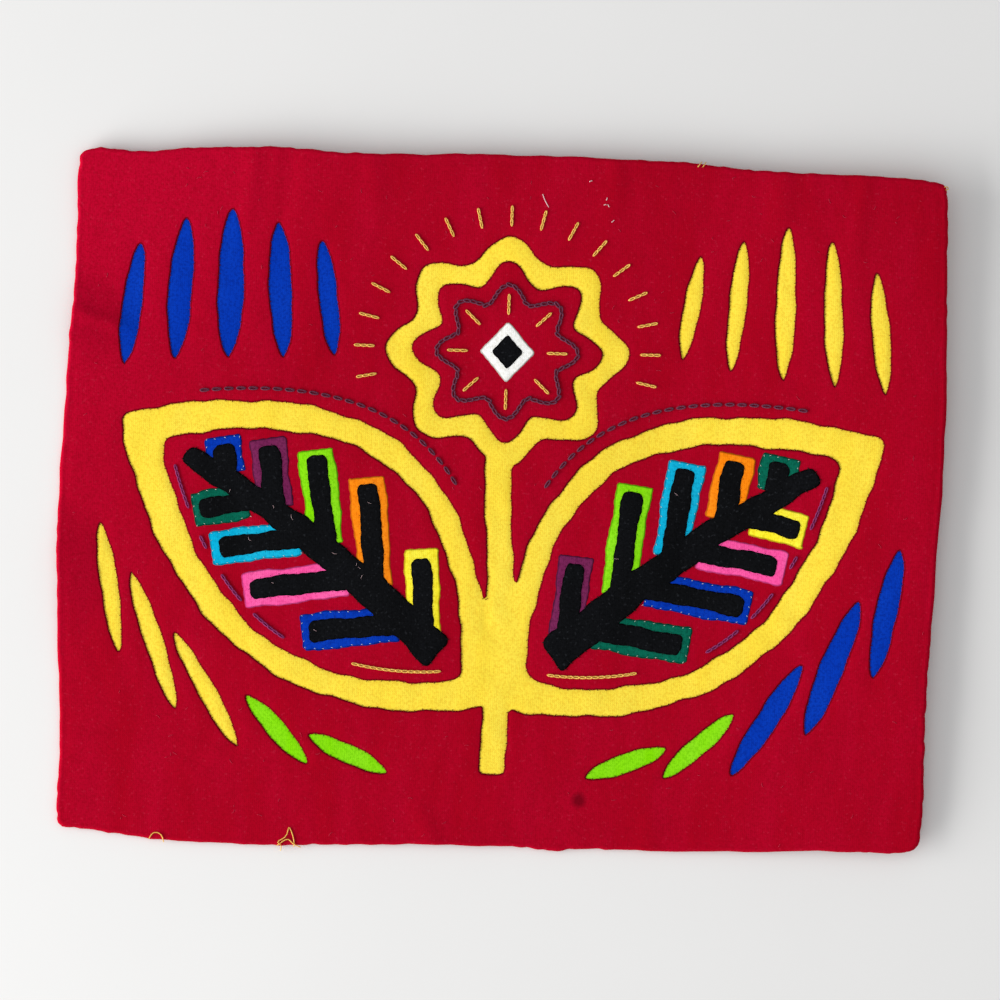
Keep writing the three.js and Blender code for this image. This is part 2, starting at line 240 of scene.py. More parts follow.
def linear(colour):
    """An sRGB hex colour as linear red, green, blue and a full alpha."""
    srgb = np.array([int(colour[i:i + 2], 16) for i in (1, 3, 5)]) / 255
    return (*np.where(srgb <= 0.04045, srgb / 12.92, ((srgb + 0.055) / 1.055) ** 2.4), 1.0)


def add(tree, kind, inputs, output, **settings):
    """Adds one node, sets its properties, sets or links each input, and gives back one output."""
    node = tree.nodes.new(kind)
    for name, value in settings.items():
        setattr(node, name, value)
    for name, value in inputs.items():
        if isinstance(value, bpy.types.NodeSocket):
            tree.links.new(value, node.inputs[name])
        else:
            node.inputs[name].default_value = value
    return node.outputs[output] if output is not None else node


def new_material(name):
    """An empty material, its node tree and the place on the piece in metres."""
    material = bpy.data.materials.new(name)
    material.use_nodes = True
    material.node_tree.nodes.clear()
    return material, material.node_tree, add(material.node_tree, "ShaderNodeTexCoord", {}, "Object")


print("mid grey is", round(float(linear("#808080")[0]), 3), "in linear light")

# %% [markdown]
# Unevenness comes from noise, and a ramp picks how much of the noise shows. Every material here is matt and
# ends the same way, in one principled shader.

# %% Noise, ramps and mixes
# A colour mix node has its factor first and its two colours sixth and seventh
MIX_A, MIX_B, MIX_OUT = 6, 7, 2


def noise(tree, vector, size_mm, detail=2.0):
    """Noise between 0 and 1 with lumps of about size_mm."""
    return add(tree, "ShaderNodeTexNoise", {"Vector": vector, "Scale": 1 / (size_mm * MM), "Detail": detail,
               "Roughness": 0.6}, "Fac")


def ramp(tree, value, start, end, high=1.0):
    """0 up to start, then straight up to high at end."""
    return add(tree, "ShaderNodeMapRange", {"Value": value, "From Min": start, "From Max": end,
               "To Max": high}, "Result")


def blend(tree, factor, first, second):
    """The first colour, with factor of the second mixed in."""
    return add(tree, "ShaderNodeMix", {0: factor, MIX_A: first, MIX_B: second}, MIX_OUT, data_type="RGBA")


def matt_surface(tree, colour, **settings):
    """Ends a material with one principled shader of that colour."""
    names = {name.replace("_", " "): value for name, value in settings.items()}
    shader = add(tree, "ShaderNodeBsdfPrincipled", {"Base Color": colour, **names}, "BSDF")
    add(tree, "ShaderNodeOutputMaterial", {"Surface": shader}, None)


print("mixes take sockets", MIX_A, "and", MIX_B)

# %% [markdown]
# ## Cotton and thread
# Plain-weave cotton is matt and a little fuzzy. Real threads here lie about 0.4 mm apart, which is finer
# than one pixel, so the weave is drawn about twice as coarse to show at all. Uneven yarn gives a fine
# grain, painted darker where the yarn lies low as painted shade in its hollows. Dye fades in slow upright
# clouds, and specks of fluff cling to it. Along a turned-under edge a thin dark line is painted: painted
# shade of the rolled edge. Each sheet carries its distance from the edge as an attribute for that. One
# function builds every cotton, because only dye, fluff and fuzz differ, besides the red's stain and painted
# light.

# %% Cotton
WEAVE_MM, GRAIN_MM, SPECK_MM, EDGE_SHADE_MM = 0.92, 1.1, 1.5, 0.8
CLOUD_WIDE_MM, CLOUD_LONG_MM = 16.0, 55.0
# Painted light: the red is painted lighter towards its upper left, the lamp's side, between these distances
PAINTED_LIGHT_TOWARDS, PAINTED_LIGHT_FROM_MM, PAINTED_LIGHT_TO_MM = (-1.0, 0.5, 0.0), 125.0, 235.0
# Where on its noise each of these starts and is full, and how much of it there is at most
CLOUD_RAMP, GRAIN_RAMP, SPECK_RAMP = (0.35, 0.68, 0.8), (0.56, 0.36, 0.6), (0.63, 0.78)
# Painted shade along a turned edge: how dark, as a share of the dark dye, and how much of it at most
EDGE_SHADE_DARKNESS, EDGE_SHADE_MOST = 0.4, 0.85
STAIN_LUMP_MM, STAIN_RAGGED_MM, STAIN_MOST = 2.5, 2.4, 0.8
STAIN_FAINT_MM, STAIN_FULL_MM = 2.2, -0.6


def stained(tree, place, colour, stain):
    """The colour with a round stain, its rim made ragged by noise; stain is x, y, radius and colour."""
    middle_x, middle_y, radius, stain_colour = stain
    off = add(tree, "ShaderNodeVectorMath", {0: place, 1: (middle_x * MM, middle_y * MM, 0)}, "Vector",
              operation="SUBTRACT")
    flat = add(tree, "ShaderNodeVectorMath", {0: off, 1: (1, 1, 0)}, "Vector", operation="MULTIPLY")
    far = add(tree, "ShaderNodeVectorMath", {0: flat}, "Value", operation="LENGTH")
    lumps = noise(tree, place, STAIN_LUMP_MM, 3.0)
    ragged = add(tree, "ShaderNodeMath", {0: lumps, 1: STAIN_RAGGED_MM * MM, 2: far}, "Value",
                 operation="MULTIPLY_ADD")
    mark = ramp(tree, ragged, (radius + STAIN_FAINT_MM) * MM, (radius + STAIN_FULL_MM) * MM, STAIN_MOST)
    return blend(tree, mark, colour, linear(stain_colour))


def cotton(name, dye, faded, dark, fluff="#E9DAD2", specks=0.0, fuzz=0.02, painted_light_colour=None, stain=None):
    """Dyed plain-weave cotton: grain, faded clouds, pale specks and a dark line at a turned edge, painted
    shade.

    The grain is painted darker in its hollows, as painted shade. Given a light colour, the cloth is painted
    towards it at its upper left: painted light on the lamp's side.
    """
    material, tree, place = new_material(name)
    wave = {"Vector": place, "Scale": 2 * math.pi / 20 / (WEAVE_MM * MM), "Distortion": 1.2, "Detail": 1.0,
            "Detail Scale": 0.4}
    warp = add(tree, "ShaderNodeTexWave", wave, "Fac", bands_direction="X")
    weft = add(tree, "ShaderNodeTexWave", wave, "Fac", bands_direction="Y")
    weave = add(tree, "ShaderNodeMath", {0: warp, 1: weft}, "Value", operation="MULTIPLY")
    upright = (1, CLOUD_WIDE_MM / CLOUD_LONG_MM, 1)
    drawn_out = add(tree, "ShaderNodeMapping", {"Vector": place, "Scale": upright}, "Vector")
    clouds = noise(tree, drawn_out, CLOUD_WIDE_MM, 3.0)
    grain = noise(tree, place, GRAIN_MM, 3.0)
    body = blend(tree, ramp(tree, clouds, *CLOUD_RAMP), linear(dye), linear(faded))
    # Painted light: lighter towards the upper left, on the lamp's side
    if painted_light_colour:
        towards_lamp = add(tree, "ShaderNodeVectorMath", {0: place, 1: PAINTED_LIGHT_TOWARDS}, "Value",
                     operation="DOT_PRODUCT")
        body = blend(tree, ramp(tree, towards_lamp, PAINTED_LIGHT_FROM_MM * MM, PAINTED_LIGHT_TO_MM * MM), body, linear(painted_light_colour))
    # Grain: uneven yarn, painted darker where the yarn lies low, as painted shade in its hollows
    colour = blend(tree, ramp(tree, grain, *GRAIN_RAMP), body, linear(dark))
    fluffy = noise(tree, place, SPECK_MM, 1.0)
    colour = blend(tree, ramp(tree, fluffy, *SPECK_RAMP, specks), colour, linear(fluff))
    if stain:
        colour = stained(tree, place, colour, stain)
    # Painted shade: a dark line painted along the turned edge, within 0.8 mm of it
    from_edge = add(tree, "ShaderNodeAttribute", {}, "Fac", attribute_name="from_edge")
    fold = ramp(tree, from_edge, EDGE_SHADE_MM, 0.3 * EDGE_SHADE_MM, EDGE_SHADE_MOST)
    colour = blend(tree, fold, colour, (*(EDGE_SHADE_DARKNESS * np.array(linear(dark)[:3])), 1.0))
    # Yarn lumps stand out four times as much as the weave
    relief = add(tree, "ShaderNodeMath", {0: grain, 1: 4.0, 2: weave}, "Value", operation="MULTIPLY_ADD")
    bump = add(tree, "ShaderNodeBump", {"Height": relief, "Strength": 0.17, "Distance": 0.16 * MM}, "Normal")
    matt_surface(tree, colour, Roughness=0.9, IOR=1.47, Specular_IOR_Level=0.04, Sheen_Weight=fuzz,
                 Sheen_Roughness=0.5, Sheen_Tint=linear(faded), Normal=bump)
    return material


print("weave drawn", WEAVE_MM, "mm apart")

# %% [markdown]
# The dyes are those of shop-bought cotton. The red carries a stain, and painted light: it is painted lighter
# towards its upper left, the lamp's side. Fluff shows on red and black. A table of dyes and one loop make all
# of them, so that they stay alike in everything else.

# %% The dyed cottons
# Each cotton: colour word, dye, faded dye and dark dye, the dark one used for painted shade in hollows and at
# turned edges
DYES = {
    "red": ("red", "#A6001C", "#B00226", "#960018"),
    "yellow": ("yellow", "#FFE140", "#FFE74E", "#EDC030"),
    "black": ("black", "#0B0C0E", "#121316", "#040405"),
    "white": ("white", "#FBFAF3", "#FFFFFF", "#DDD9CE"),
    "blue": ("blue", "#0234AC", "#083FBA", "#022488"),
    "orange": ("orange", "#FF8A0C", "#FF9824", "#E26C04"),
    "teal": ("dark green", "#04624C", "#0C6C56", "#024234"),
    "lemon": ("lemon", "#FFF024", "#FFF44E", "#E6C80C"),
    "cyan": ("light blue", "#06AFD8", "#20BCE0", "#0490B8"),
    "purple": ("purple", "#721E50", "#7E2C5A", "#56163A"),
    "pink": ("pink", "#FC52A0", "#FF6AAE", "#DC3C84"),
    "lime": ("lime", "#86E104", "#96E826", "#6AC202"),
}
# Fluff, sheen and stain of some cottons, and for the red a painted light colour towards its upper left
WEAR_AND_PAINTED_LIGHT = {"red": {"fluff": "#C22A48", "specks": 0.25, "fuzz": 0.0, "painted_light_colour": "#B60229",
                "stain": (40.9, -134.7, 3.4, "#6A0012")},
        "yellow": {"fuzz": 0.0}, "black": {"fluff": "#2A2C30", "specks": 0.6}}
CLOTHS = {key: cotton(f"{word} plain-weave cotton", *shades, **WEAR_AND_PAINTED_LIGHT.get(key, {}))
          for key, (word, *shades) in DYES.items()}
print(len(CLOTHS), "cottons")

# %% [markdown]
# Sewing and embroidery thread is twisted from plies. At this size the twist shows only as shade in its
# hollows, so a fine noise between two shades is enough: painted shade, darker where the bump is low.

# %% Threads
PLY_MM, PLY_RAMP = 0.5, (0.35, 0.65)


def thread(name, dye, dark):
    """Twisted cotton thread: matt, with painted shade in the hollows between its plies."""
    material, tree, place = new_material(name)
    plies = noise(tree, place, PLY_MM)
    body = blend(tree, ramp(tree, plies, *PLY_RAMP), linear(dark), linear(dye))
    bump = add(tree, "ShaderNodeBump", {"Height": plies, "Strength": 0.4, "Distance": 0.12 * MM}, "Normal")
    matt_surface(tree, body, Roughness=0.8, IOR=1.5, Specular_IOR_Level=0.15, Normal=bump)
    return material


THREADS = {
    "red": thread("dark red sewing thread", "#6A0618", "#42000C"),
    "black": thread("black sewing thread", "#1A1A1E", "#08080A"),
    "pale": thread("pale sewing thread", "#D4DDD2", "#A3B4A8"),
    "yellow": thread("golden embroidery thread", "#FFD673", "#CC9034"),
    "purple": thread("purple embroidery thread", "#943870", "#6A1C4C"),
    "plum": thread("plum embroidery thread", "#743850", "#4C2034"),
    "fluff": thread("pale cotton fluff", "#E8CCCC", "#C9A0A6"),
    "rosy": thread("rosy cotton fluff", "#C23C56", "#AC2642"),
}
print(len(THREADS), "threads")

# %% [markdown]
# The table is plain, pale and matt, with a very slight mottle so that it isn't a flat colour.

# %% Table top
MOTTLE_MM = 160.0
TABLE_HALF, TABLE_LOW = 3.0, -0.2 * MM
paper, tree, place = new_material("pale matt table top")
tone = blend(tree, noise(tree, place, MOTTLE_MM, 3.0), linear("#E8E7E5"), linear("#ECEBE9"))
matt_surface(tree, tone, Roughness=0.85, Specular_IOR_Level=0.2)
table_mesh = bpy.data.meshes.new("table top")
table_corners = [(x * TABLE_HALF, y * TABLE_HALF, TABLE_LOW) for x, y in ((-1, -1), (1, -1), (1, 1), (-1, 1))]
table_mesh.from_pydata(table_corners, [], [(0, 1, 2, 3)])
table_mesh.materials.append(paper)
table_top = bpy.data.objects.new("table_top", table_mesh)
scene.collection.objects.link(table_top)
print("table top", 2 * TABLE_HALF, "m wide")

# %% [markdown]
# ## Distances from a cut edge
# Everything about a sewn edge depends on how far a place is from it: the cloth rolls over within half a
# millimetre, dips over the next few, and a stitch sits every few millimetres along it. So each cut line
# is a closed loop of points, and one function gives, for whole arrays of places, the distance to the loop
# (positive inside) and how far along the loop the nearest point lies.

# %% Distance to a loop
FAR = 60.0


def edge_distance(x, y, loop, reach=14.0):
    """Signed distance to a closed loop, positive inside, and the length along it of the nearest point.

    A straight piece of the loop is compared with all places at once: the place is projected on it and held
    between its ends. A place is inside when a ray along +X crosses the loop an odd number of times. Places
    further from the loop's box than reach are given the distance -FAR.
    """
    x, y = np.broadcast_arrays(np.asarray(x, float), np.asarray(y, float))
    low, high = loop.min(0) - reach, loop.max(0) + reach
    near = (x > low[0]) & (x < high[0]) & (y > low[1]) & (y < high[1])
    px, py = x[near], y[near]
    best, along, inside = np.full(px.shape, FAR**2), np.zeros(px.shape), np.zeros(px.shape, bool)
    run = 0.0
    for (x0, y0), (x1, y1) in zip(loop, np.roll(loop, -1, 0)):
        dx, dy = x1 - x0, y1 - y0
        long = math.hypot(dx, dy)
        share = np.clip(((px - x0) * dx + (py - y0) * dy) / (long**2 + 1e-12), 0, 1)
        square = (px - x0 - share * dx) ** 2 + (py - y0 - share * dy) ** 2
        closer = square < best
        best = np.where(closer, square, best)
        along = np.where(closer, run + share * long, along)
        if y0 != y1:
            inside ^= ((y0 > py) != (y1 > py)) & (px < x0 + (py - y0) * dx / dy)
        run += long
    distance, length = np.full(x.shape, -FAR), np.zeros(x.shape)
    distance[near] = np.sqrt(best) * np.where(inside, 1, -1)
    length[near] = along
    return distance, length


def nearest_edge(loops, sign=1):
    """Distance and length for the nearest of several loops: inside any, or with sign -1 outside all."""
    def depth_of(x, y):
        best, length = np.full(np.shape(x), -FAR), np.zeros(np.shape(x))
        for loop in loops:
            distance, along = edge_distance(x, y, loop)
            closer = distance > best
            best, length = np.where(closer, distance, best), np.where(closer, along, length)
        return sign * best, length
    return depth_of


def signed_area(loop):
    """Area inside a loop in square millimetres, positive when it runs anticlockwise: the shoelace sum."""
    x, y = loop.T
    return float((x * np.roll(y, -1) - y * np.roll(x, -1)).sum()) / 2


print("panel area", round(abs(signed_area(outline)) / 100), "square centimetres")

# %% [markdown]
# ## The cut lines
# The plant has two leaves that mirror each other, a blossom and a stem, all outlined by the yellow cloth.
# A leaf is drawn along a bent axis: its half width is a power of a sine. Inside, a black rib carries
# slanted veins, each on a coloured patch. Slits fill the ground around it. Hand cutting is never true,
# so every loop gets a slow wobble of a few tenths of a millimetre.

# %% Sizes of the plant
BAND = 11.5
LEAF_ROOT, LEAF_TURN = np.array([-3.0, -92.0]), math.radians(143.5)
LEAF_LONG, LEAF_HALF, LEAF_BEND = 214.0, 60.0, -9.0
LEAF_LEAN, LEAF_FULLNESS = 0.95, 0.85
# For each millimetre that a leaf is set in, it starts this much later and is this much shorter
INSET_START, INSET_SHORTER = 1.5, 3.4
RIB_FROM, RIB_TO, RIB_HALF_ROOT, RIB_HALF_TIP = 32.0, 180.0, 8.6, 4.8
VEIN_SLANT, VEIN_HALF = math.radians(46), 4.8
STRIP_START, PATCH_HALF, PATCH_RIM = 3.5, 8.3, 3.4
PATCH_CORNER, VEIN_CORNER = 1.2, 2.8
# Each vein: place along the rib, side, reach, and the patch's cotton on the left and right leaf
VEINS = [(40, 1, 40, "lemon", "purple"), (71, 1, 54, "orange", "lime"), (101, 1, 48, "lime", "cyan"),
         (130, 1, 36, "purple", "orange"), (157, 1, 21, "blue", "teal"), (52, -1, 50, "blue", "teal"),
         (83, -1, 53, "pink", "blue"), (113, -1, 43, "cyan", "pink"), (141, -1, 29, "teal", "lemon")]
BLOSSOM, BLOSSOM_RADIUS, BLOSSOM_LOBES, LOBE_RISE = np.array([1.0, 70.0]), 48.0, 8, 5.0
BLOSSOM_STRETCH = 1.06
HEART_WHITE, HEART_BLACK = (13.0, 14.0), (7.5, 8.0)
STEM_FROM, STEM_TO, STEM_HALF, STEM_SWAY, STEM_BENDS = -124.0, 23.0, 6.0, 2.2, 1.3
# Each slit: cotton, middle x and y, lean in degrees, length, width
SLITS = [("blue", -172, 86, -6, 56, 9), ("blue", -150, 94, -3, 64, 11), ("blue", -127, 97, 0, 68, 12),
         ("blue", -104, 95, 4, 62, 10.5), ("blue", -82, 92, 8, 52, 9), ("yellow", 172, 84, 6, 56, 8),
         ("yellow", 150, 92, 3, 66, 8.5), ("yellow", 128, 96, 0, 70, 9), ("yellow", 106, 95, -4, 60, 8),
         ("yellow", 85, 93, -8, 48, 7.5), ("yellow", -178, -44, 10, 60, 8),
         ("yellow", -157, -68, 20, 66, 8.5), ("yellow", -132, -90, 31, 60, 8),
         ("lime", -99, -107, 44, 42, 8.5), ("lime", -66, -117, 66, 40, 8.5),
         ("blue", 179, -44, -10, 60, 10), ("blue", 155, -70, -20, 66, 11), ("blue", 126, -95, -31, 60, 10),
         ("lime", 95, -108, -46, 44, 8.5), ("lime", 62, -117, -68, 40, 8.5)]
SLIT_ROUNDING, SLIT_BLUNTNESS = 2.4, 0.65
# How far corners are rounded, and the spacing of points along the line
EASE = {"leaf": (3.0, 1.5), "stem": (1.5, 1.5), "rib": (2.0, 1.0), "heart": (0.8, 0.4)}
# How far hand cutting strays from each line
STRAY = {"leaf": 0.45, "blossom": 0.35, "stem": 0.3, "slit": 0.22, "patch": 0.4, "vein": 0.35, "rib": 0.4,
         "heart": 0.15}
print(len(VEINS), "veins to a leaf and", len(SLITS), "slits")

# %% [markdown]
# A corner that is turned under by hand is never sharp. So corners are rounded by averaging each loop with its
# neighbours, once its points are evenly spaced.

# %% Rounding a cut line


def run_along(path):
    """Length along a path at each of its points."""
    return np.concatenate([[0.0], np.cumsum(np.linalg.norm(np.diff(path, axis=0), axis=1))])


def places_on(path, run, at):
    """Places on a path where its run is at, taken as straight between its points."""
    return np.stack([np.interp(at, run, path[:, axis]) for axis in (0, 1)], 1)


def eased(loop, reach, spacing):
    """A loop with rounded corners: evenly spaced again, then twice averaged over reach to both sides."""
    ring = np.vstack([loop, loop[:1]])
    run = run_along(ring)
    even = places_on(ring, run, np.linspace(0, run[-1], round(run[-1] / spacing), endpoint=False))
    near = range(-round(reach / spacing), round(reach / spacing) + 1)
    for _ in range(2):
        even = np.mean([np.roll(even, shift, 0) for shift in near], axis=0)
    return even


print("the panel's outline, evenly spaced, has", len(eased(outline, 2.0, 2.0)), "points")

# %% [markdown]
# Leaf, rib and veins are drawn in the leaf's own length and width, then bent and turned into place. That way
# one formula serves both leaves, and the veins follow the bend.

# %% Leaf, rib and veins


def in_leaf(mirror, along, side):
    """A place in the leaf from the length along its axis and the distance to its upper side."""
    bent = side - LEAF_BEND * np.sin(np.pi * along / LEAF_LONG)
    return (turn(np.stack([along, -bent], -1), LEAF_TURN) + LEAF_ROOT) * (mirror, 1)


def leaf_half(share, inset):
    """Half width of a leaf at a share of its length: a sine to a power below one, so the ends are round."""
    return (LEAF_HALF - inset) * np.clip(np.sin(np.pi * share**LEAF_LEAN), 0, None) ** LEAF_FULLNESS


def leaf_loop(mirror, inset, steps=90):
    """A leaf's outline, set in by inset; the steps crowd towards both ends like a cosine."""
    share = (1 - np.cos(np.pi * np.linspace(0, 1, steps))) / 2
    half = leaf_half(share, inset)
    along = INSET_START * inset + (LEAF_LONG - INSET_SHORTER * inset) * share
    return np.vstack([in_leaf(mirror, along, half), in_leaf(mirror, along, -half)[-2:0:-1]])


def rib_loop(mirror):
    """The rib's outline, whose half width changes evenly from root to tip."""
    share = np.linspace(0, 1, 40)
    half = RIB_HALF_ROOT + (RIB_HALF_TIP - RIB_HALF_ROOT) * share
    along = RIB_FROM + (RIB_TO - RIB_FROM) * share
    return np.vstack([in_leaf(mirror, along, half), in_leaf(mirror, along, -half)[::-1]])


def strip_loop(mirror, vein, start, half, corner, rim=0.0):
    """A strip that slants off the rib, rim shorter than its vein's reach, rounded at its far corners."""
    at, up, reach = vein[0], vein[1], vein[2] - rim
    arc = np.linspace(-np.pi / 2, np.pi / 2, 14)
    tip = np.stack([reach - corner + corner * np.cos(arc),
                    (half - corner) * np.sign(arc) + corner * np.sin(arc)], 1)
    run = np.linspace(start, reach - corner, 16)[:-1]
    lower = np.stack([run, np.full(len(run), -half)], 1)
    upper = np.stack([run[::-1], np.full(len(run), half)], 1)
    edge = np.vstack([lower, tip, upper])
    turned = turn(edge, up * VEIN_SLANT)
    return in_leaf(mirror, at + turned[:, 0], turned[:, 1])


print("a leaf reaches from", leaf_loop(1, 0).min(0).round(), "to", leaf_loop(1, 0).max(0).round())

# %% [markdown]
# The blossom is a ring whose radius waves, its heart two diamonds, the stem a swaying strip and each slit a
# slim lens. These are simple enough to be drawn straight from their formulas.

# %% Blossom, heart, stem and slits


def lobed_ring(radius, rise, steps=180):
    """A ring round the blossom's middle: radius plus rise times the cosine of eight times the angle."""
    angle = 2 * np.pi * np.arange(steps) / steps
    wavy = radius + rise * np.cos(BLOSSOM_LOBES * angle)
    return BLOSSOM + np.stack([BLOSSOM_STRETCH * wavy * np.cos(angle), wavy * np.sin(angle)], 1)


def diamond_loop(half):
    """A diamond round the blossom's middle, with even steps along each side."""
    corners = np.array([(half[0], 0), (0, half[1]), (-half[0], 0), (0, -half[1])])
    share = np.linspace(0, 1, 12, endpoint=False)[None, :, None]
    sides = corners[:, None] + (np.roll(corners, -1, 0) - corners)[:, None] * share
    return BLOSSOM + sides.reshape(-1, 2)


def stem_loop():
    """The stem's outline: a strip whose middle sways like a sine."""
    share = np.linspace(0, 1, 40)
    y = STEM_FROM + (STEM_TO - STEM_FROM) * share
    middle = STEM_SWAY * np.sin(STEM_BENDS * np.pi * share)
    return np.vstack([np.stack([middle + STEM_HALF, y], 1), np.stack([middle - STEM_HALF, y], 1)[::-1]])


def slit_loop(slit, grow=0.0, steps=56):
    """A slim lens with blunt ends: half width times (1 - share of reach to a power) to a power."""
    _, x, y, lean, long, wide = slit
    share = -np.cos(np.pi * np.arange(steps) / steps)
    half = (wide / 2 + grow) * (1 - np.abs(share) ** SLIT_ROUNDING) ** SLIT_BLUNTNESS
    reach = long / 2 + grow
    lens = np.vstack([np.stack([reach * share, -half], 1), np.stack([-reach * share, half], 1)])
    return turn(lens, math.radians(90 + lean)) + (x, y)


print("blossom", np.ptp(lobed_ring(BLOSSOM_RADIUS, LOBE_RISE), axis=0).round(), "mm wide and high")

# %% [markdown]
# Scissors follow these lines only roughly. Each loop gets its own wobble from its own seed, so that no two
# edges repeat and every run gives the same panel.

# %% Cut every window
SIDES = {"left": 1, "right": -1}
leaf_outer, leaf_inner = ({side: wobbled(eased(leaf_loop(m, inset), *EASE["leaf"]), seed + m, STRAY["leaf"])
                           for side, m in SIDES.items()} for inset, seed in ((0, 11), (BAND, 21)))
blossom_outer, blossom_inner = (wobbled(lobed_ring(BLOSSOM_RADIUS - inset, LOBE_RISE), seed, STRAY["blossom"])
                                for inset, seed in ((0, 31), (BAND, 33)))
stem = wobbled(eased(stem_loop(), *EASE["stem"]), 36, STRAY["stem"])
figure_loops = [leaf_outer["left"], leaf_outer["right"], blossom_outer, stem]
field_loops = [leaf_inner["left"], leaf_inner["right"], blossom_inner]
slit_loops = [wobbled(slit_loop(s), 50 + i, STRAY["slit"]) for i, s in enumerate(SLITS)]
print(len(figure_loops) + len(slit_loops), "windows in the face cloth")

# %% [markdown]
# ## A sheet with rolled edges
# A cut and sewn cloth is a sheet of any outline. A regular grid can't follow such an outline, so the grid
# is clipped: a cell that the line crosses keeps only its inner part, with new corners where the depth
# below the edge passes zero. The fifteen ways in which a cell can keep a part are a small table.

# %% Clipped grid
# Corners a b c d run anticlockwise from the lower left; 0 1 2 3 are the sides from a to b, b to c and so on
CELL_CUTS = {1: ["a03"], 2: ["0b1"], 3: ["ab13"], 4: ["1c2"], 5: ["a03", "1c2"], 6: ["0bc2"], 7: ["abc23"],
             8: ["32d"], 9: ["a02d"], 10: ["0b1", "32d"], 11: ["ab12d"], 12: ["31cd"], 13: ["a01cd"],
             14: ["0bcd3"], 15: ["abcd"]}


def clip_grid(xs, ys, depth):
    """Keeps the part of a grid with depth above zero: places, faces, border steps and border directions.

    A new corner lies on a cell side where depth, taken as straight between its ends, is zero. A border step
    is a pair of new corners with the cloth on its left, and a direction is minus the slope of depth.
    """
    kept = depth > 0
    gy, gx = np.gradient(depth, ys, xs)
    grid_x, grid_y = np.meshgrid(xs, ys)
    number = np.full(depth.shape, -1)
    number[kept] = np.arange(kept.sum())
    count = int(kept.sum())
    places, slopes, sides = [np.stack([grid_x[kept], grid_y[kept]], 1)], [], []
    every, early, late = slice(None), slice(None, -1), slice(1, None)
    for start, end in (((every, early), (every, late)), ((early, every), (late, every))):
        crossed = kept[start] != kept[end]
        share = depth[start] / (depth[start] - depth[end] + 1e-12)
        between = lambda f: (f[start] + (f[end] - f[start]) * share)[crossed]
        places.append(np.stack([between(grid_x), between(grid_y)], 1))
        slopes.append(np.stack([between(gx), between(gy)], 1))
        side = np.full(crossed.shape, -1)
        side[crossed] = count + np.arange(crossed.sum())
        count += int(crossed.sum())
        sides.append(side)
    level, upright = sides
    corner = {"a": number[:-1, :-1], "b": number[:-1, 1:], "c": number[1:, 1:], "d": number[1:, :-1],
              "0": level[:-1], "1": upright[:, 1:], "2": level[1:], "3": upright[:, :-1]}
    code = kept[:-1, :-1] + 2 * kept[:-1, 1:] + 4 * kept[1:, 1:] + 8 * kept[1:, :-1]
    faces, border = [], []
    for case, shapes in CELL_CUTS.items():
        cells = code == case
        for shape in shapes:
            faces.append(np.stack([corner[c][cells] for c in shape], 1))
            for here, after in zip(shape, shape[1:] + shape[0]):
                if here.isdigit() and after.isdigit():
                    border.append(np.stack([corner[here][cells], corner[after][cells]], 1))
    slope = np.vstack(slopes)
    direction = -slope / (np.linalg.norm(slope, axis=1)[:, None] + 1e-9)
    return np.vstack(places), faces, np.vstack(border), direction


def grid_over(loops, step):
    """Even places along x and along y that cover the loops with a little to spare."""
    every = np.vstack(loops)
    low, high = every.min(0) - 2 * step, every.max(0) + 2 * step
    return np.arange(low[0], high[0], step), np.arange(low[1], high[1], step)


print(len(CELL_CUTS), "ways to cut a cell")

# %% [markdown]
# From the clipped border a short profile is carried round, ring by ring, which rolls the cloth over its
# turned edge. Between two stitches the edge swells out a little, and at a stitch it is pulled in: that
# gives hand-sewn edges their tiny scallops.

# %% Rolled edge
ROLL_TURNS = np.radians([32, 64, 95, 130])


def add_rings(places, heights, faces, border, rings):
    """Adds rings of places round a border: quads join each border step to the same step of the next ring."""
    corners = np.unique(border)
    step = np.searchsorted(corners, border)
    here, start = border, len(places)
    all_places, all_heights, all_faces = [places], [heights], list(faces)
    for ring_places, ring_heights in rings:
        there = start + step
        all_faces.append(np.stack([here[:, 1], here[:, 0], there[:, 0], there[:, 1]], 1))
        all_places.append(ring_places)
        all_heights.append(ring_heights)
        here, start = there, start + len(corners)
    return np.vstack(all_places), np.concatenate(all_heights), all_faces


def roll_rings(edge, out, height, run, roll, pitch, pucker):
    """Rings that turn over a circle of radius roll.

    Between stitches the edge swells by pucker times |sin(pi run / pitch)|, more in some places than others.
    """
    uneven = 0.75 + 0.45 * np.sin(run / 3.7) * np.sin(run / 9.1)
    swell = pucker * np.abs(np.sin(np.pi * run / pitch)) * uneven
    return [(edge + out * (roll * np.sin(angle) + swell * min(1.0, angle))[:, None],
             height - roll * (1 - np.cos(angle))) for angle in ROLL_TURNS]


print(len(ROLL_TURNS), "rings round an edge")

# %% [markdown]
# With these parts a sewn sheet is a clipped grid with rings at its border. A bevel modifier could round the
# edge too, but it can't swell between stitches.

# %% Sewn sheet


def make_piece(name, points, faces, material, from_edge=None):
    """A mesh object at the origin from points in millimetres and a list of face arrays.

    from_edge is the distance from the turned edge at the first points; the points after them lie in the roll.
    """
    mesh = bpy.data.meshes.new(name)
    mesh.from_pydata((np.asarray(points) * MM).tolist(), [], [f for a in faces for f in a.tolist()])
    mesh.polygons.foreach_set("use_smooth", np.ones(len(mesh.polygons), bool))
    mesh.materials.append(material)
    mesh.update()
    if from_edge is not None:
        distance = np.zeros(len(points))
        distance[:len(from_edge)] = from_edge
        mesh.attributes.new("from_edge", "FLOAT", "POINT").data.foreach_set("value", distance)
    piece = bpy.data.objects.new(name, mesh)
    scene.collection.objects.link(piece)
    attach(piece, "root")
    return piece


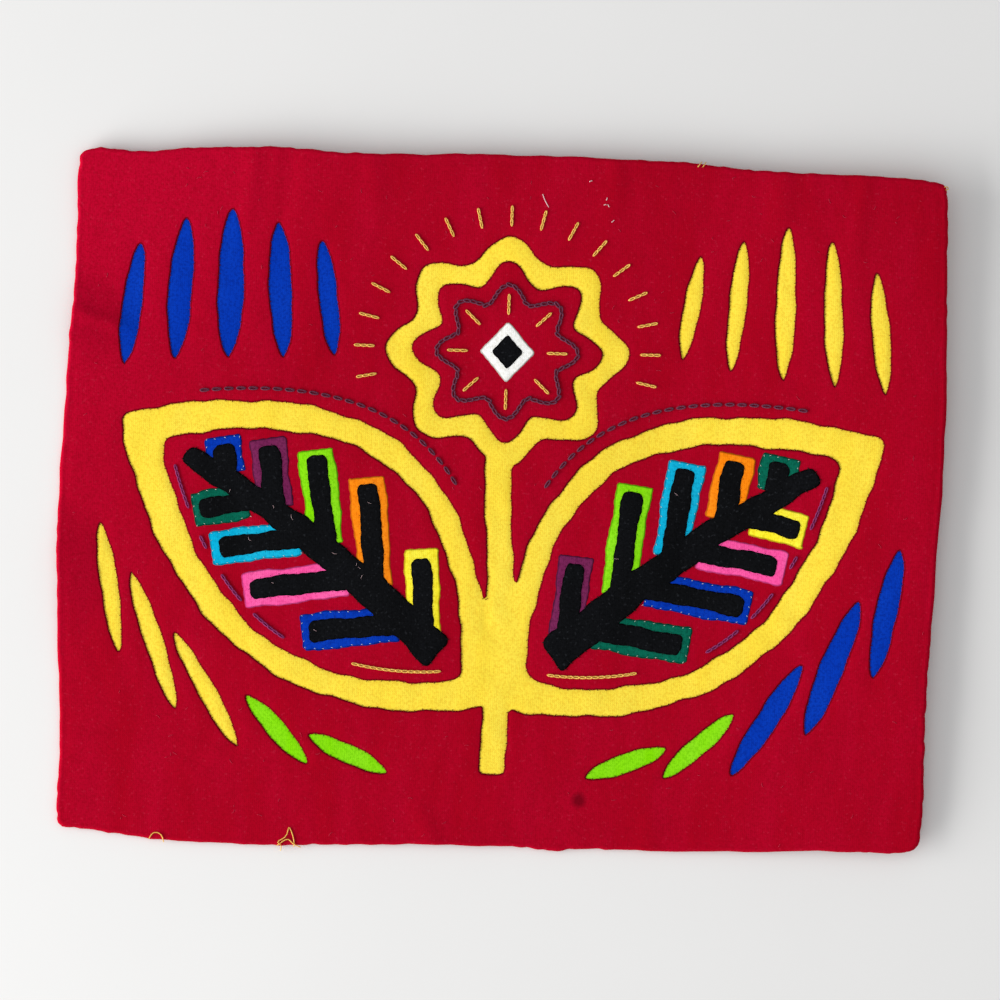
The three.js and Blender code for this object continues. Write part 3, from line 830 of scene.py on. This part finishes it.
def sewn_sheet(name, material, loops, step, top_of, roll, pitch, pucker):
    """A sheet inside the loops with its edge rolled under; top_of(x, y, depth, run) gives its height."""
    xs, ys = grid_over(loops, step)
    depth_of = nearest_edge(loops)
    places, faces, border, direction = clip_grid(xs, ys, depth_of(*np.meshgrid(xs, ys))[0] - roll)
    depth, run = depth_of(*places.T)
    heights = top_of(*places.T, depth, run)
    corners = np.unique(border)
    out = direction[corners - (len(places) - len(direction))]
    rings = roll_rings(places[corners], out, heights[corners], run[corners], roll, pitch, pucker)
    places, heights, faces = add_rings(places, heights, faces, border, rings)
    return make_piece(name, np.column_stack([places, heights]), faces, material, depth)


def lay(node, name, dye, loops, *shape):
    """Makes the sheet that stands for one CAD node, and keeps its cut lines."""
    cut_lines[node] = loops
    cloth_pieces[node] = sewn_sheet(name, CLOTHS[dye], loops, *shape)


cloth_pieces, cut_lines = {}, {}
print("pieces stand for", len(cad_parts), "CAD nodes")

# %% [markdown]
# ## The yellow cloth underneath
# One yellow sheet lies under everything and shows in the bands, the stem and some slits. In a window it
# is pushed up between the seams, almost to the red's level, within a millimetre or two of the edge. It is
# a closed sheet: the upper side, a narrow rim and the plain back that would show from behind.

# %% Under cloth
HEM = 12.0
PANEL_HALF = np.array([HALF_WIDE, HALF_HIGH])
UNDER_STEP = 1.9
HIDDEN_TOP, WINDOW_RISE, BACK_LEVEL = 1.05, 0.68, 0.35
RISE_FROM, RISE_TO = -2.0, 1.3
yellow_loops = figure_loops + [l for l, s in zip(slit_loops, SLITS) if s[0] == "yellow"]


def smooth_step(low, high, value):
    """0 below low, 1 above high, and a soft S between."""
    t = np.clip((value - low) / (high - low), 0, 1)
    return t * t * (3 - 2 * t)


def under_top(x, y):
    """The yellow's height: level where it is hidden, raised by a soft step where it shows."""
    shown = np.minimum(nearest_edge(yellow_loops)(x, y)[0], -nearest_edge(field_loops)(x, y)[0])
    creases = 0.05 * np.sin(x / 2.3 + 2 * np.sin(y / 9)) + 0.05 * np.sin(y / 2.9 + 2 * np.sin(x / 7))
    return ground(x, y) + HIDDEN_TOP + smooth_step(RISE_FROM, RISE_TO, shown) * (WINDOW_RISE + creases)


inner_panel = outline * (1 - (HEM + 0.5) / PANEL_HALF)
xs, ys = grid_over([inner_panel], UNDER_STEP)
places, faces, border, _ = clip_grid(xs, ys, edge_distance(*np.meshgrid(xs, ys), inner_panel)[0])
back = np.column_stack([places, lift(*places.T) + BACK_LEVEL])
points = np.vstack([np.column_stack([places, under_top(*places.T)]), back])
shift = len(places)
rim = np.stack([border[:, 1], border[:, 0], border[:, 0] + shift, border[:, 1] + shift], 1)
faces = faces + [f[:, ::-1] + shift for f in faces] + [rim]
cloth_pieces["under_cloth"] = make_piece("yellow_under_cloth", points, faces, CLOTHS["yellow"],
                                         np.full(len(points), FAR))
cut_lines["under_cloth"] = [inner_panel]
print("under cloth:", len(points), "points")

# %% [markdown]
# ## The red face cloth
# The face cloth is the largest piece. Its windows have rolled, stitched edges, and it dips towards them
# because the stitches pull it down. Its outer edge is turned to the back as a hem, so there the profile
# is longer: over the edge, down to the table and twelve millimetres back under the panel.

# %% Height of the red cloth
FACE_TOP = 2.3
EDGE_ROLL, EDGE_PITCH, EDGE_PUCKER = 0.55, 3.5, 0.34
EDGE_DIP, DIP_REACH, DIMPLE = 0.24, 2.4, 0.08


def fine_folds(x, y):
    """Small soft creases of washed cotton, under a tenth of a millimetre."""
    return (0.035 * np.sin(x / 1.9 + 3 * np.sin(y / 13)) * np.sin(y / 17 + x / 29)
            + 0.035 * np.sin(y / 2.2 + 3 * np.sin(x / 11)) * np.sin(x / 19 - y / 23))


def red_top(x, y, depth, run):
    """The red's height: a dip of EDGE_DIP exp(-depth / reach) at an edge, with a dimple at each stitch."""
    near = np.exp(-np.clip(depth, 0, None) / DIP_REACH)
    pull = EDGE_DIP * near + DIMPLE * near**2 * np.cos(2 * np.pi * run / EDGE_PITCH)
    return ground(x, y) + FACE_TOP - pull + fine_folds(x, y)


def red_level(x, y):
    """The red's height away from any edge, for what lies on it."""
    return red_top(x, y, FAR, 0.0)


print("red lies", FACE_TOP, "mm above the ground")

# %% [markdown]
# The grid of the face cloth is clipped once, by the nearest of hem and windows. Then each kind of border gets
# its own rings: a short roll at the windows and the long hem outside.

# %% Face cloth
FACE_STEP = 1.3
# The hem's profile: distance in from the outline, and height above the ground
HEM_PROFILE = [(0.75, 2.08), (0.28, 1.72), (0.04, 1.25), (0.08, 0.75), (0.4, 0.32), (1.1, 0.1), (4.0, 0.04),
               (8.0, 0.04), (11.4, 0.06), (HEM, 0.2), (HEM - 0.3, 0.4)]
HEM_START = 1.5
# Grooves along the hem, each a depth and a reach: at the edge itself, and along the line of sewing
EDGE_GROOVE, HEM_GROOVE, HEM_LINE = (0.12, 2.0), (0.14, 0.9), 3.2
window_loops = figure_loops + slit_loops
windows = nearest_edge(window_loops, -1)
xs, ys = grid_over([outline], FACE_STEP)
grid = np.meshgrid(xs, ys)
depth = np.minimum(edge_distance(*grid, outline)[0] - HEM_START, windows(*grid)[0] - EDGE_ROLL)
places, faces, border, direction = clip_grid(xs, ys, depth)
window_gap, window_run = windows(*places.T)
hem_gap = edge_distance(*places.T, outline)[0]
groove = (EDGE_GROOVE[0] * np.exp(-hem_gap / EDGE_GROOVE[1])
          + HEM_GROOVE[0] * np.exp(-(((hem_gap - HEM_LINE) / HEM_GROOVE[1]) ** 2)))
heights = red_top(*places.T, window_gap, window_run) - groove
at_hem = hem_gap[border[:, 0]] < HEM_START + 1
first = len(places) - len(direction)

corners = np.unique(border[~at_hem])
rings = roll_rings(places[corners], direction[corners - first], heights[corners], window_run[corners],
                   EDGE_ROLL, EDGE_PITCH, EDGE_PUCKER)
all_places, all_heights, faces = add_rings(places, heights, faces, border[~at_hem], rings)
window_ring_points = len(all_places) - len(places)

corners = np.unique(border[at_hem])
on_edge = places[corners] + direction[corners - first] * HEM_START
hem_rings = []
for inset, level in HEM_PROFILE:
    ring = on_edge * (1 - inset / PANEL_HALF)
    hem_rings.append((ring, lift(*ring.T) + level + soft(*ring.T) * level / FACE_TOP))
all_places, all_heights, faces = add_rings(all_places, all_heights, faces, border[at_hem], hem_rings)
from_edge = np.full(len(all_places), FAR)
from_edge[:len(places)] = window_gap
from_edge[len(places):len(places) + window_ring_points] = 0.0
cloth_pieces["face_cloth"] = make_piece("red_face_cloth", np.column_stack([all_places, all_heights]), faces,
                                        CLOTHS["red"], from_edge)
print("face cloth:", sum(len(f) * (f.shape[1] - 2) for f in faces), "triangles")

# %% [markdown]
# ## Fields, slit patches and the pieces sewn on
# The leaf and blossom fields are red pieces inside the yellow bands. Blue and lime pieces lie under the
# slits and show as slim lenses. The coloured patches and the black ribs are sewn on top of the fields,
# each a little higher than what it lies on. All of them are the same sheet with other outlines and
# heights.

# %% Red fields and slit patches
FIELD_STEP, SLIT_STEP, PATCH_STEP, RIB_STEP, HEART_STEP = 1.05, 0.9, 0.75, 0.8, 0.7
field_of = {"leaf_field_left": leaf_inner["left"], "leaf_field_right": leaf_inner["right"],
            "blossom_field": blossom_inner}
for node, loop in field_of.items():
    lay(node, f"red_{node}", "red", [loop], FIELD_STEP, red_top, EDGE_ROLL, EDGE_PITCH, EDGE_PUCKER)

SLIT_MARGIN, SLIT_LEVEL, SLIT_RISE, SLIT_ROLL, SLIT_PUCKER = 2.4, 1.3, 0.42, 0.15, 0.0


def slit_top(shown):
    """Height of a cloth under the slit shown, raised by a soft step inside it."""
    def top_of(x, y, depth=0.0, run=0.0):
        rise = smooth_step(RISE_FROM, RISE_TO, edge_distance(x, y, shown)[0])
        return ground(x, y) + SLIT_LEVEL + SLIT_RISE * rise
    return top_of


filled_slits = [(s, l) for s, l in zip(SLITS, slit_loops) if s[0] != "yellow"]
for number, (slit, shown) in enumerate(filled_slits, 1):
    node = f"slit_patch_{number}"
    lay(node, f"{slit[0]}_{node}", slit[0], [slit_loop(slit, SLIT_MARGIN)], SLIT_STEP, slit_top(shown),
        SLIT_ROLL, EDGE_PITCH, SLIT_PUCKER)
print(len(field_of), "fields and", len(filled_slits), "slit patches")

# %% [markdown]
# The patches and ribs are sewn on last, so they puff up between their stitches. Their height is level plus
# puff, falling to the sewn edge within a millimetre or so.

# %% Patches, ribs and heart
PATCH_LEVEL, PATCH_PUFF, PATCH_ROLL, PATCH_PITCH, PATCH_PUCKER = 2.42, 0.2, 0.36, 4.4, 0.22
RIB_LEVEL, RIB_PUFF, RIB_ROLL, RIB_PITCH, RIB_PUCKER = 2.72, 0.26, 0.48, 4.2, 0.24
HEART_ROLL, HEART_PITCH = 0.42, 3.6
PUFF_REACH, PATCH_DIMPLE = 1.3, 0.1
# Creases of a patch, finer than the red's
CREASE_SIZE, CREASE_CROWDING = 0.8, 1.3


def patch_top(level, puff, pitch):
    """A sewn-on piece: low at its edge, puffed by puff further in, with a dimple at each stitch."""
    def top_of(x, y, depth, run):
        near = np.exp(-np.clip(depth, 0, None) / PUFF_REACH)
        dimple = PATCH_DIMPLE * near**2 * np.cos(2 * np.pi * run / pitch)
        creases = CREASE_SIZE * fine_folds(x * CREASE_CROWDING, y * CREASE_CROWDING)
        return ground(x, y) + level + puff * (1 - near) - dimple + creases
    return top_of


lies_high = patch_top(PATCH_LEVEL, PATCH_PUFF, PATCH_PITCH)
rib_high = patch_top(RIB_LEVEL, RIB_PUFF, RIB_PITCH)
patch_cotton = {}
for side, mirror in SIDES.items():
    veins = [wobbled(strip_loop(mirror, vein, STRIP_START, VEIN_HALF, VEIN_CORNER, PATCH_RIM),
                     200 + 20 * mirror + i, STRAY["vein"]) for i, vein in enumerate(VEINS, 1)]
    for number, vein in enumerate(VEINS, 1):
        node = f"vein_patch_{side}_{number}"
        dye = vein[3] if side == "left" else vein[4]
        patch_cotton[node] = dye
        patch = wobbled(strip_loop(mirror, vein, STRIP_START, PATCH_HALF, PATCH_CORNER),
                        100 + 20 * mirror + number, STRAY["patch"])
        lay(node, f"{dye}_{node}", dye, [patch], PATCH_STEP, lies_high, PATCH_ROLL, PATCH_PITCH, PATCH_PUCKER)
    node = f"leaf_rib_{side}"
    rib = wobbled(eased(rib_loop(mirror), *EASE["rib"]), 300 + mirror, STRAY["rib"])
    lay(node, f"black_{node}", "black", [rib] + veins, RIB_STEP, rib_high, RIB_ROLL, RIB_PITCH, RIB_PUCKER)

for dye, half, top_of in (("white", HEART_WHITE, lies_high), ("black", HEART_BLACK, rib_high)):
    diamond = wobbled(eased(diamond_loop(half), *EASE["heart"]), 401, STRAY["heart"])
    lay(f"heart_{dye}", f"{dye}_heart", dye, [diamond], HEART_STEP, top_of, HEART_ROLL, HEART_PITCH,
        PATCH_PUCKER)
print(len(cloth_pieces), "cloth pieces")

# %% [markdown]
# ## Hand sewing
# The turned edge is caught down with tiny slanted stitches: the needle comes up in the fold and goes down
# in the lower cloth beside it. Each stitch is a short tube bent over the edge. Tubes of one thread are
# made together, as one array of paths, because there are many and they are all alike.

# %% Tubes of thread
TUBE_SIDES = 5


def tubes(paths, radius, sides=TUBE_SIDES, closed=False):
    """Round tubes on paths of equal length, an array of (how many, points, 3).

    At each point stands a circle across the path: one axis is the direction ahead times up, the other is
    that axis times the direction ahead.
    """
    ahead = np.roll(paths, -1, 1) - np.roll(paths, 1, 1) if closed else np.gradient(paths, axis=1)
    ahead = ahead / (np.linalg.norm(ahead, axis=2, keepdims=True) + 1e-9)
    level = np.cross(ahead, (0.0, 0.0, 1.0))
    level = level / (np.linalg.norm(level, axis=2, keepdims=True) + 1e-9)
    rise = np.cross(level, ahead)
    angle = 2 * np.pi * np.arange(sides)[:, None] / sides
    ring = np.cos(angle) * level[:, :, None] + np.sin(angle) * rise[:, :, None]
    points = paths[:, :, None] + radius * ring
    number = np.arange(points.size // 3).reshape(points.shape[:3])
    here, after = (number, np.roll(number, -1, 1)) if closed else (number[:, :-1], number[:, 1:])
    faces = [np.stack([here, after, np.roll(after, -1, 2), np.roll(here, -1, 2)], -1).reshape(-1, 4)]
    caps = [] if closed else [number[:, 0], number[:, -1, ::-1]]
    return points.reshape(-1, 3), faces + caps


print("a thread is a tube of", TUBE_SIDES, "sides")

# %% [markdown]
# A hand spaces its stitches by eye, so each place is moved a little at random. On dark patches the stitches
# are pale and sunk so deep that only dots show.

# %% Stitches along an edge


def stitch_places(path, pitch, closed=True, uneven=0.0):
    """Places every pitch along a path, with the direction ahead and the one to its left."""
    ring = np.vstack([path, path[:1]]) if closed else path
    run = run_along(ring)
    at = np.arange(0.0, run[-1] - 0.4 * pitch, pitch)
    at = at + rng.uniform(-uneven, uneven, len(at))
    step = places_on(ring, run, at + 0.4) - places_on(ring, run, at - 0.4)
    ahead = step / np.linalg.norm(step, axis=1)[:, None]
    return places_on(ring, run, at), ahead, np.stack([-ahead[:, 1], ahead[:, 0]], 1)


# A whip stitch's five points: how far into the upper cloth, how far along the edge, and its height over the
# lower cloth for the first two and over the upper cloth for the rest
WHIP_INTO = np.array([-0.54, -0.36, -0.05, 0.35, 0.7])
WHIP_ALONG = np.array([-0.35, -0.2, 0.0, 0.2, 0.35])
WHIP_OVER = np.array([0.05, 0.3, -0.3, 0.06, -0.12])
WHIP_ON_LOWER = WHIP_INTO < -0.3
# A dot's half length along the edge and across it, and the arch's height and fall
DOT_AHEAD, DOT_ASIDE, DOT_HIGH, DOT_FALL = 0.32, 0.16, 0.14, 0.24


def whip_stitches(loop, cloth_side, pitch, low_of, high_of):
    """Paths of the stitches along a loop; cloth_side is 1 when the upper cloth is inside it, else -1."""
    at, ahead, left = stitch_places(loop, pitch, uneven=0.3)
    into = left * np.sign(signed_area(loop)) * cloth_side
    spots = at[:, None] + into[:, None] * WHIP_INTO[:, None] + ahead[:, None] * WHIP_ALONG[:, None]
    x, y = spots[..., 0], spots[..., 1]
    upper = high_of(x, y, np.clip(WHIP_INTO, 0, None), 0.0)
    return np.dstack([spots, np.where(WHIP_ON_LOWER, low_of(x, y), upper) + WHIP_OVER])


def dot_stitches(loop, pitch, inset, high_of):
    """Stitches that show only as dots just inside a loop: low arches, height minus fall times t squared."""
    at, ahead, left = stitch_places(loop, pitch, uneven=0.5)
    into = left * np.sign(signed_area(loop))
    t = np.linspace(-1, 1, 5)[:, None]
    spots = (at + inset * into)[:, None] + (DOT_AHEAD * ahead + DOT_ASIDE * into)[:, None] * t
    level = high_of(spots[..., 0], spots[..., 1], inset, 0.0)
    return np.dstack([spots, level + DOT_HIGH - DOT_FALL * t[:, 0] ** 2])


def clear_of(paths, loops, gap):
    """Only the paths whose middle lies more than gap outside all the loops."""
    middle = paths.shape[1] // 2
    return paths[nearest_edge(loops)(paths[:, middle, 0], paths[:, middle, 1])[0] < -gap]


def sew(name, thread_name, paths, radius, **kind):
    """One piece from the paths of all stitches of one thread."""
    piece = make_piece(name, *tubes(np.concatenate(paths), radius, **kind), THREADS[thread_name])
    print(name, sum(len(p) for p in paths), "stitches")


def others(loop, loops):
    """The loops without this one."""
    return [other for other in loops if other is not loop]


print("a whip stitch is", round(float(np.hypot(np.ptp(WHIP_INTO), np.ptp(WHIP_ALONG))), 2), "mm long")

# %% [markdown]
# Each edge is sewn with a thread near its own colour: dark red on the red, black on the black. No stitch
# stands where another piece covers the edge.

# %% Whip stitches
# A stitch is left out nearer than this to a seam or to a rib
SEAM_CLEAR, RIB_CLEAR = 1.3, 0.5
red_paths = [clear_of(whip_stitches(l, -1, EDGE_PITCH, under_top, red_top), others(l, figure_loops),
                      SEAM_CLEAR) for l in figure_loops]
red_paths += [whip_stitches(l, 1, EDGE_PITCH, under_top, red_top) for l in field_loops]
red_paths += [whip_stitches(l, -1, EDGE_PITCH, under_top if s[0] == "yellow" else slit_top(l), red_top)
              for s, l in zip(SLITS, slit_loops)]
sew("red_whip_stitches", "red", red_paths, radius=0.14)

PATCH_INSET = 0.75
ribs = [cut_lines[f"leaf_rib_{side}"] for side in SIDES]
pale_paths = [dot_stitches(cut_lines[n][0], PATCH_PITCH, PATCH_INSET, lies_high)
              for n, c in patch_cotton.items() if c in ("teal", "blue", "cyan")]
sew("pale_dot_stitches", "pale", [clear_of(p, ribs[0] + ribs[1], RIB_CLEAR) for p in pale_paths], radius=0.12)

black_paths = [clear_of(whip_stitches(l, 1, RIB_PITCH, red_level, rib_high), others(l, rib), RIB_CLEAR)
               for rib in ribs for l in rib]
black_paths.append(whip_stitches(cut_lines["heart_black"][0], 1, HEART_PITCH, red_level, rib_high))
sew("black_whip_stitches", "black", black_paths, radius=0.17)

# %% [markdown]
# ## Embroidery
# Lines on the cloth are chain stitch: each link is a loop of thread that the next one holds down. A link
# seen from above is a slim drop, so its path is a circle stretched along the line and narrowed towards its
# start. Where single links stand apart, each is one detached loop.

# %% Chain stitch
LINK_TURN = 2 * np.pi * np.arange(12) / 12
LINK_LOW, CHAIN_CLEAR = 0.22, 2.4
sewn_on = ribs[0] + ribs[1] + [cut_lines[node][0] for node in patch_cotton]


def chain(path, pitch=2.9, half=0.52, closed=False, link=None):
    """Paths of the links along a line on the red cloth.

    Along the line a point is at link times (0.49 - 0.59 cos t), across it at half sin t, less near the start
    of the link.
    """
    at, ahead, left = stitch_places(path, pitch, closed)
    swell = (1 - np.cos(LINK_TURN)) / 2
    along = (link or pitch) * (1.18 * swell - 0.1)
    across = half * np.sin(LINK_TURN) * (0.7 + 0.3 * swell)
    spots = at[:, None] + ahead[:, None] * along[:, None] + left[:, None] * across[:, None]
    level = red_level(spots[..., 0], spots[..., 1]) + LINK_LOW + LINK_LOW * swell
    return clear_of(np.dstack([spots, level]), sewn_on, CHAIN_CLEAR)


def ray(angle, near, far):
    """A straight line out from the blossom's middle."""
    reach = np.linspace(near, far, 6)[:, None]
    return BLOSSOM + reach * np.array([BLOSSOM_STRETCH * math.cos(angle), math.sin(angle)])


def beside_leaf(mirror, start, end, inset, gap, sign=1):
    """A line along a leaf's edge, gap outside it, between two lengths along its axis."""
    along = np.linspace(start, end, 60)
    share = (along - INSET_START * inset) / (LEAF_LONG - INSET_SHORTER * inset)
    return in_leaf(mirror, along, sign * (leaf_half(share, inset) + gap))


lobe_angles = 2 * np.pi * np.arange(BLOSSOM_LOBES) / BLOSSOM_LOBES
halo_angles = np.radians(np.linspace(-12, 192, 17))
gold = [chain(ray(a, near=17.5, far=26.5)) for a in lobe_angles]
gold += [chain(ray(a, near=58, far=67)) for a in halo_angles]
gold += [chain(beside_leaf(m, start=26, end=60, inset=BAND, gap=-6.5, sign=-1)) for m in SIDES.values()]
sew("golden_chain_stitch", "yellow", gold, radius=0.3, closed=True)
plum = [chain(lobed_ring(radius=27, rise=3.5), half=0.75, closed=True)]
plum += [chain(beside_leaf(m, start=74, end=192, inset=0, gap=7), pitch=5.6, half=0.7, link=3.4)
         for m in SIDES.values()]
sew("plum_chain_stitch", "plum", plum, radius=0.4, closed=True)
purple = [chain(beside_leaf(m, start=92, end=180, inset=BAND, gap=-5.0, sign=-1), half=0.58)
          for m in SIDES.values()]
sew("purple_chain_stitch", "purple", purple, radius=0.36, closed=True)

# %% [markdown]
# ## Loose threads and fluff
# A few ends of basting thread hang out at the edge, where the panel was unpicked from a blouse. Each is a
# curve through a few points, with its corners cut off until it is smooth. Fluff is short bent fibres that
# lie on the cloth, most of them on the red and black, where they show.

# %% Loose threads
# Each thread: places along it, from the panel's middle
LOOSE_ENDS = [[(-155.8, -159.3), (-154.4, -156.6), (-152.2, -156.0), (-149.8, -157.4), (-149, -160.6)],
              [(-95.3, -162.7), (-94.7, -160.1), (-97.4, -158.6), (-92.3, -156.2), (-91.8, -150.1),
               (-89, -157.4), (-89.2, -160.6)],
              [(-97.0, -160.4), (-92, -156.5), (-89.6, -159.4), (-86, -160.8)],
              [(85.3, 157.6), (86.2, 158.8), (87.2, 160.2)], [(87.6, 157.6), (88.3, 158.8), (89.1, 160.2)],
              [(198.4, 152.2), (200.2, 152.6), (200.6, 151.4), (199.0, 150.8)]]
END_LOW, ENDS_FALL = 0.3, (-3.0, 0.6)


def rounded(points, count=22):
    """A smooth curve near the points: corners are cut at a quarter and three quarters of each stretch."""
    path = np.asarray(points, float)
    for _ in range(3):
        cut = np.stack([0.75 * path[:-1] + 0.25 * path[1:], 0.25 * path[:-1] + 0.75 * path[1:]], 1)
        path = np.vstack([path[:1], cut.reshape(-1, 2), path[-1:]])
    return places_on(path, np.arange(len(path)), np.linspace(0, len(path) - 1, count))


ends = np.stack([rounded(points) for points in LOOSE_ENDS])
over = edge_distance(ends[..., 0], ends[..., 1], outline)[0]
ends_high = END_LOW + red_level(ends[..., 0], ends[..., 1]) * smooth_step(*ENDS_FALL, over)
sew("golden_loose_threads", "yellow", [np.dstack([ends, ends_high])], radius=0.24)

# %% [markdown]
# Hair particles could make the fluff, but there is little of it and it lies flat, so each fibre is a short
# bent tube like a stitch. A few larger tufts have their own places.

# %% Fluff
# Each tuft: x and y, direction in degrees, length
FLUFF_PLACED = [(16.0, 139.7, -63, 6.6), (36.5, 149.6, 20, 1.4), (44.2, 141.5, 70, 1.3), (43.5, 139, 10, 1.2),
                (45, 138.5, 120, 1.4), (47.3, 131.5, 40, 1.6)]


def fibres(at, angle, length, level_of):
    """Bent fibres: for t from -0.5 to 0.5 each runs length t ahead and length times bend t squared aside."""
    t = np.linspace(-0.5, 0.5, 5)[:, None]
    bend = rng.uniform(-0.9, 0.9, (len(at), 1, 1))
    ahead = np.stack([np.cos(angle), np.sin(angle)], 1)[:, None]
    left = np.stack([-ahead[..., 1], ahead[..., 0]], -1)
    spots = at[:, None] + length[:, None, None] * (ahead * t + left * bend * t**2)
    return np.dstack([spots, level_of(spots[..., 0], spots[..., 1]) + 0.1])


def rib_level(x, y):
    """The rib's height away from its edge."""
    return rib_high(x, y, FAR, 0.0)


def strewn(at, low, high):
    """Any direction, and a length between low and high, for each place."""
    return rng.uniform(0, np.pi, len(at)), rng.uniform(low, high, len(at))


# Places are thrown over the panel, and the first few that fall on the cloth, clear of its edge, are kept
ON_RED, ON_BLACK, RED_MARGIN, RED_CLEAR, BLACK_CLEAR = 120, 13, 6, 2.0, 1.2
on_red = rng.uniform(-1, 1, (600, 2)) * (PANEL_HALF - RED_MARGIN)
on_red = on_red[windows(*on_red.T)[0] > RED_CLEAR][:ON_RED]
on_black = rng.uniform(-1, 1, (3000, 2)) * PANEL_HALF
on_black = on_black[nearest_edge(ribs[0] + ribs[1])(*on_black.T)[0] > BLACK_CLEAR][:ON_BLACK]
placed = np.array(FLUFF_PLACED)
sew("rosy_fluff", "rosy", [fibres(on_red, *strewn(on_red, 0.7, 2.4), red_level)], radius=0.07, sides=4)
sew("pale_fluff", "fluff", [fibres(on_black, *strewn(on_black, 0.8, 2.6), rib_level)], radius=0.05, sides=4)
tufts = fibres(placed[:, :2], np.radians(placed[:, 2]), placed[:, 3], red_level)
sew("pale_fluff_tufts", "fluff", [tufts], radius=0.2)

# %% [markdown]
# ## The back
# Turned over, the panel shows the plain yellow cloth, the red hem and the lower halves of the stitches, which
# repeat the windows as dotted lines. The hem is caught with slip stitches across its inner edge.

# %% Back of the sewing
BACK_REACH, SEAM_SUNK = np.array([-0.9, 0.0, 0.9]), 0.04
# Slip stitches: how far apart, and the height of the three points of each above the table
SLIP_PITCH, SLIP_HEIGHTS = 7.0, np.array([0.16, 0.13, 0.3])


def back_stitches(loop, pitch, across=0.0):
    """Short stitches on the back: along the loop, or across it when across is 1."""
    at, ahead, left = stitch_places(loop, pitch, uneven=0.3)
    way = ahead * (1 - across) + left * across
    return at[:, None] + way[:, None] * BACK_REACH[:, None]


seams = [clear_of(back_stitches(l, EDGE_PITCH), others(l, figure_loops), SEAM_CLEAR) for l in figure_loops]
seams = np.concatenate(seams + [back_stitches(l, EDGE_PITCH) for l in slit_loops + field_loops])
seams_low = lift(seams[..., 0], seams[..., 1]) + BACK_LEVEL - SEAM_SUNK
slips = back_stitches(outline * (1 - HEM / PANEL_HALF), SLIP_PITCH, across=1.0)
slips_low = lift(slips[..., 0], slips[..., 1]) + SLIP_HEIGHTS
behind = [np.dstack([seams, seams_low]), np.dstack([slips, slips_low])]
sew("red_stitches_behind", "red", behind, radius=0.12, sides=4)

# %% [markdown]
# Each piece stands for its CAD node, whose own mesh is hidden. The size it was cut to is printed: the
# smallest rectangle of cloth from which its outline can be cut, and the area inside that outline. The face
# cloth is cut with its hem, and loses its windows.


def cut_size(loops):
    """Sides of the smallest rectangle, of ninety tried by turning, that holds the loops."""
    every = np.vstack(loops)
    boxes = np.array([np.ptp(turn(every, angle), axis=0) for angle in np.radians(np.arange(0, 180, 2))])
    return boxes[boxes.prod(1).argmin()]


def cut_area(depth_of, loops, cell=0.5):
    """Area inside, by counting cells of a fine grid."""
    return float((depth_of(*np.meshgrid(*grid_over(loops, cell)))[0] > 0).sum()) * cell**2


for node, piece in cloth_pieces.items():
    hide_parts(node)
    if node == "face_cloth":
        flat = 2 * (PANEL_HALF + HEM)
        cut_out = cut_area(nearest_edge(window_loops), window_loops)
        area = abs(signed_area(outline * (1 + HEM / PANEL_HALF))) - cut_out
    else:
        flat = cut_size(cut_lines[node])
        area = cut_area(nearest_edge(cut_lines[node]), cut_lines[node])
    print(node, flat.round(1), round(area))
